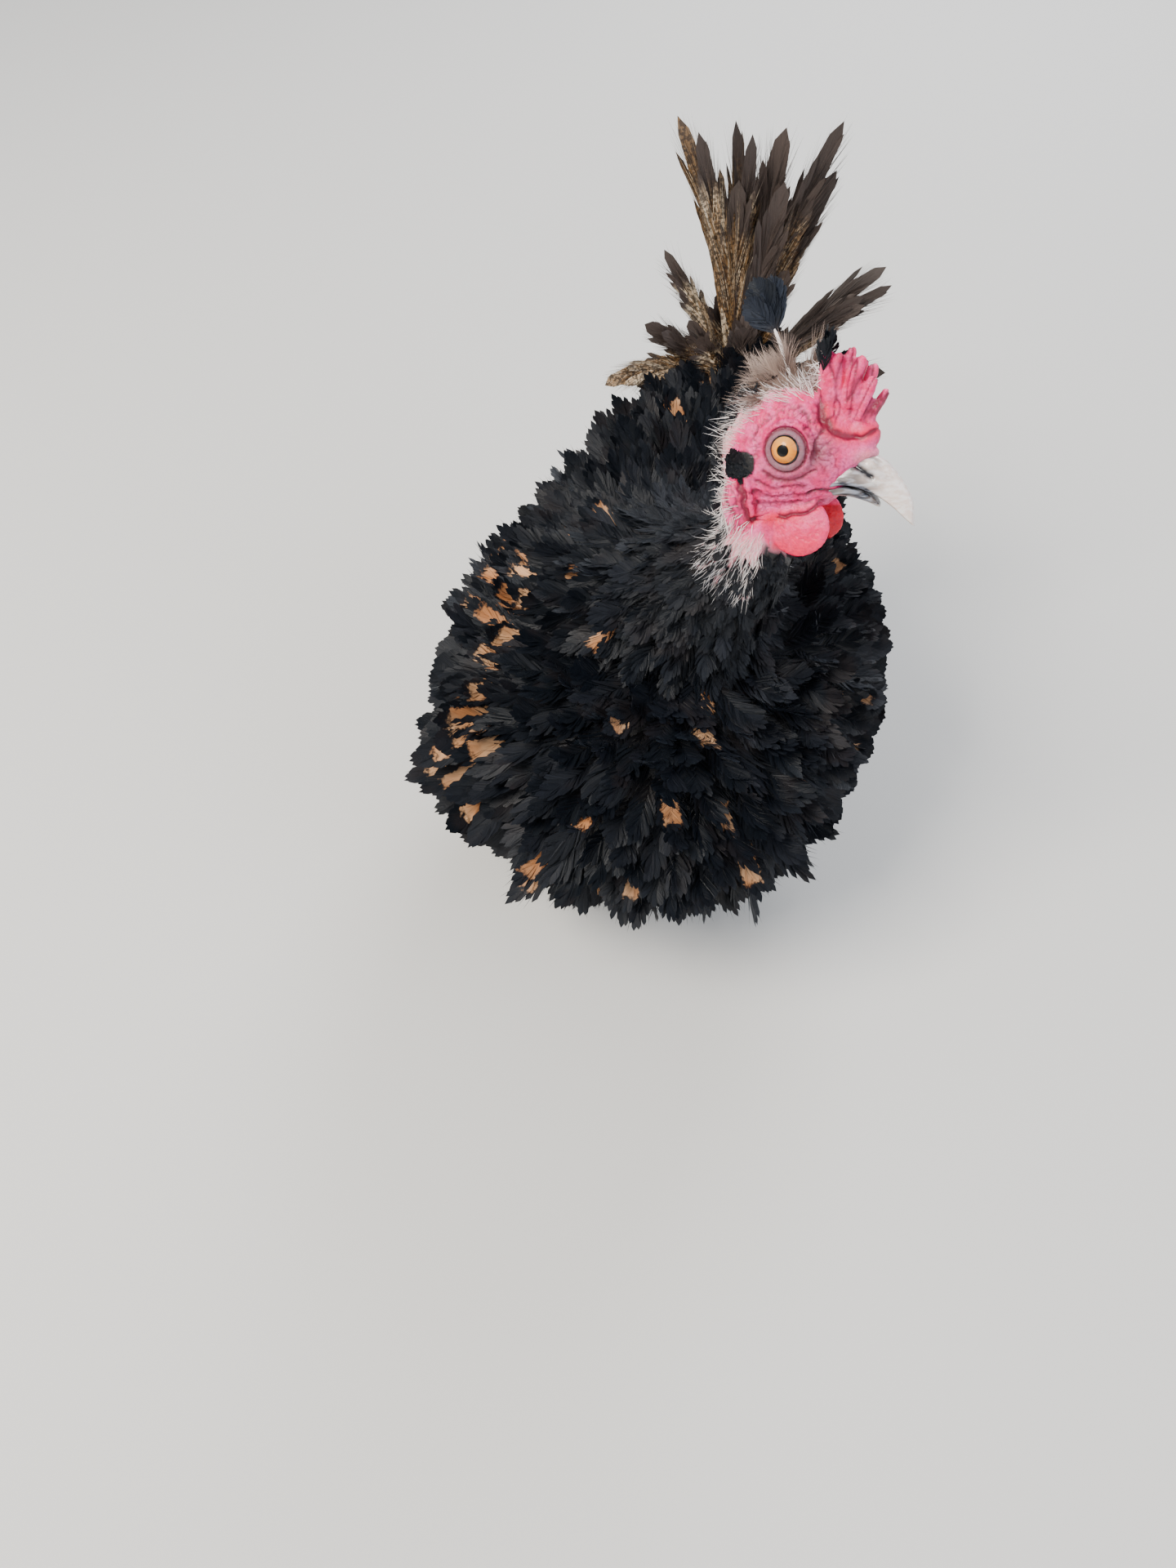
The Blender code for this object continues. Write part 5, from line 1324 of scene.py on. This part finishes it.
class Paint:
    """A Principled material and short ways to add nodes to it. A colour is given as a hex string."""

    def __init__(self, name, roughness, **values):
        self.material = bpy.data.materials.new(name)
        self.material.use_nodes = True
        self.tree = self.material.node_tree
        self.shader = self.tree.nodes["Principled BSDF"]
        self.feed(self.shader, {"Roughness": roughness})
        self.feed(self.shader, {key.replace("_", " "): value for key, value in values.items()})

    def feed(self, node, inputs):
        for key, value in inputs.items():
            if isinstance(value, bpy.types.NodeSocket):
                self.tree.links.new(value, node.inputs[key])
            else:
                node.inputs[key].default_value = linear(value) if isinstance(value, str) else value

    def node(self, kind, inputs=None, **settings):
        node = self.tree.nodes.new("ShaderNode" + kind)
        for key, value in settings.items():
            setattr(node, key, value)
        self.feed(node, inputs or {})
        return node

    def attribute(self, name, output):
        return self.node("Attribute", attribute_name=name).outputs[output]

    def parts_of(self, name):
        """The three parts of a colour attribute and its alpha."""
        source = self.node("Attribute", attribute_name=name).outputs
        return (*self.node("SeparateColor", {"Color": source["Color"]}).outputs, source["Alpha"])

    def noise(self, place, scale, detail):
        return self.node("TexNoise", {"Vector": place, "Scale": scale, "Detail": detail}).outputs[0]

    def mix(self, share, a, b):
        """The colour between a and b at a share."""
        return self.node("Mix", {0: share, 6: a, 7: b}, data_type="RGBA").outputs[2]

    def math(self, operation, *values, clamp=False):
        return self.node("Math", dict(enumerate(values)), operation=operation, use_clamp=clamp).outputs[0]

    def times(self, a, b):
        return self.math("MULTIPLY", a, b)

    def less(self, a):
        """What a leaves of 1."""
        return self.math("SUBTRACT", 1.0, a)

    def between(self, value, low, high):
        """A share that rises smoothly from 0 to 1 as the value goes from low to high."""
        inputs = {"Value": value, "From Min": low, "From Max": high}
        return self.node("MapRange", inputs, interpolation_type="SMOOTHSTEP").outputs[0]

    def bump(self, height, strength, distance):
        bump = self.node("Bump", {"Height": height, "Strength": strength, "Distance": distance})
        self.feed(self.shader, {"Normal": bump.outputs["Normal"]})

    def colour(self, colour):
        self.feed(self.shader, {"Base Color": colour})


def barb_noise(paint, along, across, tone, slant, fineness):
    """Streaks that run along a feather's barbs."""
    slanted = paint.math("MULTIPLY_ADD", across, -slant, along)
    x = paint.times(slanted, fineness)
    place = paint.node("CombineXYZ", {"X": x, "Y": across, "Z": paint.times(tone, 9.0)})
    return paint.noise(place.outputs[0], 1.0, 2.0)


def feather_material(name, base, light, tan, tan_light):
    """Keratin barbs with a dull silk gloss: near black, with lighter barb streaks that are partly painted
    highlight and a painted blue sheen, some with a flat tan centre in a dark rim.
    """
    paint = Paint(name, 0.5, Sheen_Weight=0.04, Sheen_Roughness=0.4, Sheen_Tint="8FA3C4",
                  Specular_IOR_Level=0.22)
    along, across, tone, gold = paint.parts_of("plume")
    place = paint.node("TexCoord").outputs["Object"]
    grain = paint.noise(place, 500.0, 2.0)
    patch = paint.noise(place, 60.0, 2.0)
    strand = barb_noise(paint, along, across, tone, 0.3, 80.0)
    # Lighter streaks along the barbs: partly each barb's own tone, partly painted hair-like highlights. The
    # tone also carries the hollow's painted shade.
    shade = paint.math("MULTIPLY_ADD", strand, 0.5, paint.times(tone, 0.6))
    dark = paint.mix(paint.between(shade, 0.4, 0.95), base, light)
    worn = paint.times(paint.between(patch, 0.5, 0.7), 0.5)
    browned = paint.mix(worn, dark, "271D18")
    # A painted blue sheen, laid along the barb streaks.
    blue = paint.mix(paint.times(strand, 0.45), browned, "1A2430")
    root = paint.less(paint.between(along, 0.08, 0.32))
    downy = paint.mix(paint.times(root, 0.4), blue, "332B27")
    edge = paint.math("ADD", across, paint.times(grain, 0.5))
    centre = paint.less(paint.between(edge, 0.68, 0.80))
    reach = paint.math("ADD", along, paint.times(grain, 0.16))
    reach = paint.times(paint.between(reach, 0.46, 0.50), paint.less(paint.between(reach, 0.84, 0.90)))
    share = paint.times(paint.times(centre, reach), gold)
    spot = paint.mix(paint.between(patch, 0.35, 0.65), tan, tan_light)
    colour = paint.mix(share, downy, spot)
    paint.colour(colour)
    rough = paint.node("MapRange", {"Value": tone, "To Min": 0.36, "To Max": 0.6})
    paint.feed(paint.shader, {"Roughness": rough.outputs[0]})
    paint.bump(strand, 0.5, 0.0004)
    return paint.material


def tail_feather_material():
    """Worn tail barbs: black, brown, gold and cream by the barb, peppered, and darker towards the tips."""
    paint = Paint("peppered_tail_barbs", 0.5, Specular_IOR_Level=0.4)
    along, across, tone, gold = paint.parts_of("plume")
    place = paint.node("TexCoord").outputs["Object"]
    grain = paint.noise(place, 700.0, 2.0)
    strand = barb_noise(paint, along, across, tone, 0.4, 120.0)
    varied = paint.math("MULTIPLY_ADD", strand, 0.7, paint.math("MULTIPLY_ADD", tone, 0.7, -0.2))
    dark = paint.mix(varied, "0C0B0C", "5A4C45")
    warm = paint.mix(paint.between(varied, 0.25, 0.55), "4E3723", "9A7344")
    cream = paint.mix(paint.between(varied, 0.45, 0.7), warm, "E2D2B8")
    speck = paint.times(paint.between(grain, 0.46, 0.56), 0.75)
    peppered = paint.mix(speck, cream, "1B1512")
    tip = paint.times(paint.between(along, 0.55, 0.9), 0.9)
    amount = paint.math("MULTIPLY_ADD", gold, 1.5, paint.times(tone, 0.5))
    share = paint.between(paint.math("SUBTRACT", amount, tip), 0.45, 0.85)
    colour = paint.mix(share, dark, peppered)
    shaft = paint.times(paint.between(across, -0.4, -0.9), gold)
    ribbed = paint.mix(shaft, colour, "D8C4A4")
    paint.colour(ribbed)
    paint.bump(strand, 0.5, 0.0004)
    return paint.material


def face_skin_material():
    """Living comb and face skin: waxy, blood-red under a thin pale surface, with painted shade darkening its
    creases and fine cracks.
    """
    paint = Paint("bare_face_skin", 0.42, Subsurface_Weight=0.2, Subsurface_Scale=0.0012,
                  Subsurface_Radius=(1.0, 0.28, 0.2), Specular_IOR_Level=0.45)
    red, mauve, pale, feathered = paint.parts_of("tints")
    hollow = paint.attribute("hollow", "Fac")
    place = paint.attribute("head_place", "Vector")
    blotch = paint.noise(place, 0.22, 3.0)
    fine = paint.node("TexNoise", {"Vector": place, "Scale": 1.1, "Detail": 4.0, "Roughness": 0.6})
    cells = paint.node("TexVoronoi", {"Vector": place, "Scale": 1.15}, feature="SMOOTH_F1")
    pink = paint.mix(paint.between(blotch, 0.35, 0.68), "EE2074", "FF60A4")
    flushed = paint.mix(red, pink, "F60446")
    # The strongest red, in the far wattle and the comb's crease, turns dark blood red: partly the skin's own
    # colour and partly painted shade.
    blood_red_and_shade = paint.mix(paint.between(red, 0.86, 1.0), flushed, "D4022C")
    mottle = paint.times(paint.between(fine.outputs[0], 0.52, 0.35), 0.4)
    deeper = paint.mix(mottle, blood_red_and_shade, "B72648")
    lidded = paint.mix(mauve, deeper, "8C626E")
    worn = paint.mix(pale, lidded, "F8BEC2")
    # A net of fine cracks, pressed in by the bump and painted darker red along its lines as painted shade.
    bent = paint.node("Mix", {0: 0.5, 4: place, 5: fine.outputs["Color"]}, data_type="VECTOR")
    cracks = paint.node("TexVoronoi", {"Vector": bent.outputs[1], "Scale": 0.75}, feature="DISTANCE_TO_EDGE")
    net = paint.less(paint.between(cracks.outputs["Distance"], 0.0, 0.16))
    net = paint.times(net, paint.math("SUBTRACT", 1.0, red, clamp=True))
    lined = paint.mix(paint.times(net, 0.16), worn, "A31C42")
    # Painted shade: the deeper a place was pressed into a crease, the darker its colour.
    creased = paint.mix(paint.times(hollow, 0.9), lined, "6A0F2A")
    coat = paint.mix(feathered, creased, "161314")
    paint.colour(coat)
    height = paint.math("ADD", paint.times(fine.outputs[0], 0.7), paint.times(cells.outputs["Distance"], 0.4))
    height = paint.math("SUBTRACT", height, paint.times(net, 0.14))
    paint.bump(height, 0.6, 0.0006)
    return paint.material


def horn_material():
    """Polished bill horn: cream, slate at its root and edge, with fine streaks that run out to the tip."""
    paint = Paint("cream_and_slate_horn", 0.28, Coat_Weight=0.3, Coat_Roughness=0.12,
                  Subsurface_Weight=0.08, Subsurface_Scale=0.001)
    place = paint.attribute("head_place", "Vector")
    slate = paint.attribute("slate", "Fac")
    hollow = paint.attribute("hollow", "Fac")
    stretched = paint.node("Mapping", {"Vector": place, "Scale": (0.12, 0.8, 0.8)})
    streak = paint.noise(stretched.outputs[0], 1.0, 3.0)
    pale = paint.mix(paint.between(streak, 0.35, 0.65), "E6D2C6", "F6ECE6")
    dark = paint.mix(paint.between(streak, 0.42, 0.6), "262832", "8C909C")
    colour = paint.mix(slate, pale, dark)
    # Painted shade: the nostril slit is painted near black.
    slit_painted_shade = paint.mix(hollow, colour, "15131A")
    paint.colour(slit_painted_shade)
    paint.bump(streak, 0.2, 0.0003)
    return paint.material


def claw_material():
    """Dull brown-grey claw horn, clouded and slightly ribbed."""
    paint = Paint("claw_horn", 0.4)
    place = paint.node("TexCoord").outputs["Object"]
    cloud = paint.noise(place, 260.0, 3.0)
    colour = paint.mix(paint.between(cloud, 0.3, 0.7), "3B3836", "8A8278")
    paint.colour(colour)
    paint.bump(cloud, 0.2, 0.0003)
    return paint.material


def iris_material():
    """A wet eye: amber iris with fine rays, paler towards its top as a painted highlight, round black pupil,
    under a clear glossy coat.
    """
    paint = Paint("wet_amber_eye", 0.3, Coat_Weight=0.8, Coat_Roughness=0.02, Coat_IOR=1.33,
                  Specular_IOR_Level=0.2)
    place = paint.attribute("iris_place", "Vector")
    radius = paint.node("VectorMath", {0: place}, operation="LENGTH").outputs["Value"]
    way = paint.node("VectorMath", {0: place}, operation="NORMALIZE").outputs[0]
    rays = paint.noise(way, 9.0, 3.0)
    amber = paint.mix(paint.between(radius, 2.4, 4.2), "F28A0C", "CC6000")
    rayed = paint.mix(paint.times(rays, 0.45), amber, "FFC24A")
    axes = paint.node("SeparateXYZ", {"Vector": place})
    # Painted highlight: the iris's upper part is paled towards light gold.
    upper = paint.times(paint.between(axes.outputs[2], 0.5, 4.5), 0.3)
    top = paint.mix(upper, rayed, "F3CF8A")
    rim = paint.mix(paint.between(radius, 4.3, 4.5), top, "120C0B")
    pupil = paint.mix(paint.between(radius, 2.15, 1.95), rim, "020202")
    paint.colour(pupil)
    return paint.material


def keratin_material(name, colour, tip, roughness=0.4):
    """Bare quill or down, a little lighter towards the tip."""
    paint = Paint(name, roughness)
    from_root, _, tone, _ = paint.parts_of("plume")
    along = paint.mix(paint.between(from_root, 0.4, 1.0), colour, tip)
    varied = paint.mix(paint.times(tone, 0.2), along, "8C6E66")
    paint.colour(varied)
    return paint.material


def scale_material():
    """Slate-blue leg scales, a little waxy, paler along their worn edges."""
    paint = Paint("slate_leg_scales", 0.45)
    place = paint.node("TexCoord").outputs["Object"]
    cells = paint.node("TexVoronoi", {"Vector": place, "Scale": 420.0})
    tone = paint.noise(place, 120.0, 3.0)
    colour = paint.mix(paint.between(tone, 0.3, 0.7), "3E454E", "666E77")
    worn = paint.mix(paint.between(cells.outputs["Distance"], 0.45, 0.8), colour, "8B8F92")
    paint.colour(worn)
    paint.bump(cells.outputs["Distance"], 0.5, 0.0004)
    return paint.material


def build_floor():
    """A plain pale floor, level with the soles."""
    bm = bmesh.new()
    bmesh.ops.create_grid(bm, x_segments=1, y_segments=1, size=6)
    mesh = mesh_of("floor", bm)
    paint = Paint("pale_floor_paper", 0.9, Base_Color="DAD8D3")
    mesh.materials.append(paint.material)
    link("floor", mesh)


# The camera: the photograph is 1440 x 1920 pixels, and its focal length is given in those pixels.
IMAGE_HEIGHT, FOCAL_PIXELS = 1920, 1442
CAMERA_PITCH, CAMERA_TURN = math.radians(52), math.radians(7)
CAMERA_BACK, CAMERA_ASIDE, CAMERA_HEIGHT = 0.380, 0.045, 0.510


def build_camera():
    forward = Vector((-math.sin(CAMERA_TURN), math.cos(CAMERA_TURN), 0))
    aside = Vector((math.cos(CAMERA_TURN), math.sin(CAMERA_TURN), 0))
    data = bpy.data.cameras.new("camera")
    data.sensor_width = 36
    data.lens = 36 * FOCAL_PIXELS / IMAGE_HEIGHT
    data.clip_start = 0.01
    camera = bpy.data.objects.new("camera", data)
    bpy.context.scene.collection.objects.link(camera)
    look = forward * math.cos(CAMERA_PITCH) - Vector((0, 0, 1)) * math.sin(CAMERA_PITCH)
    camera.location = shift - forward * CAMERA_BACK - aside * CAMERA_ASIDE + Vector((0, 0, CAMERA_HEIGHT))
    camera.rotation_euler = look.to_track_quat("-Z", "Y").to_euler()
    bpy.context.scene.camera = camera


def add_light(name, at, aim, size, power, colour):
    data = bpy.data.lights.new(name, "AREA")
    data.size = size
    data.energy = power
    data.color = linear(colour)[:3]
    lamp = bpy.data.objects.new(name, data)
    lamp.location = at
    lamp.rotation_euler = (Vector(aim) - Vector(at)).to_track_quat("-Z", "Y").to_euler()
    bpy.context.scene.collection.objects.link(lamp)


def build_lights():
    """Soft studio light: a large key from above the bird's right, a cool fill and a rim from behind."""
    add_light("key", (-0.9, -0.7, 1.6), (0, 0, 0.15), 0.8, 46, "FFF8EE")
    add_light("fill", (1.3, -0.6, 1.0), (0, 0, 0.15), 1.2, 13, "E6EEFF")
    add_light("rim", (0.4, 1.5, 1.2), (0, 0, 0.18), 0.8, 26, "F4F7FF")
    add_light("catch", (-0.55, -0.9, 1.25), (0, 0, 0.25), 0.12, 3, "FFFFFF")
    world = bpy.data.worlds.new("studio")
    bpy.context.scene.world = world
    world.use_nodes = True
    background = world.node_tree.nodes["Background"]
    background.inputs["Color"].default_value = linear("E9EDF2")
    background.inputs["Strength"].default_value = 0.75


def build_scene():
    black = feather_material("black_feather_barbs", "060607", "1C1C21", "C08050", "E3B285")
    skin = build_skin(face_skin_material())
    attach(skin, "root")
    flesh = ["torso", "neck", "head", "comb"]
    flesh += [f"{part}_{side}" for part in ("wattle", "earlobe", "wing", "thigh") for _, side in SIDES]
    for node in flesh:
        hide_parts(node)
    build_coat(skin, black)
    build_wing_tiers(black)
    build_tail(tail_feather_material())
    quill = keratin_material("white_pin_quills", "F2E8E4", "FFFFFF")
    down = keratin_material("grey_brown_down", "8A7468", "BBA79B", 0.8)
    build_pins(skin, quill)
    build_ear_tufts(black)
    build_crest(down, feather_material("blue_grey_crest_vane", "0E1016", "343A48", "BC8250", "DBA878"), quill)
    horn = horn_material()
    build_bill("bill_upper", UPPER_BILL, 100, 72, horn, "upper_bill")
    build_bill("bill_lower", LOWER_BILL, 60, 48, horn, "lower_bill")
    eye = iris_material()
    scales, claw = scale_material(), claw_material()
    for side, name in SIDES:
        build_eye(side, name, eye)
        build_leg(side, name, scales, claw)
    build_floor()
    build_camera()
    build_lights()


build_scene()
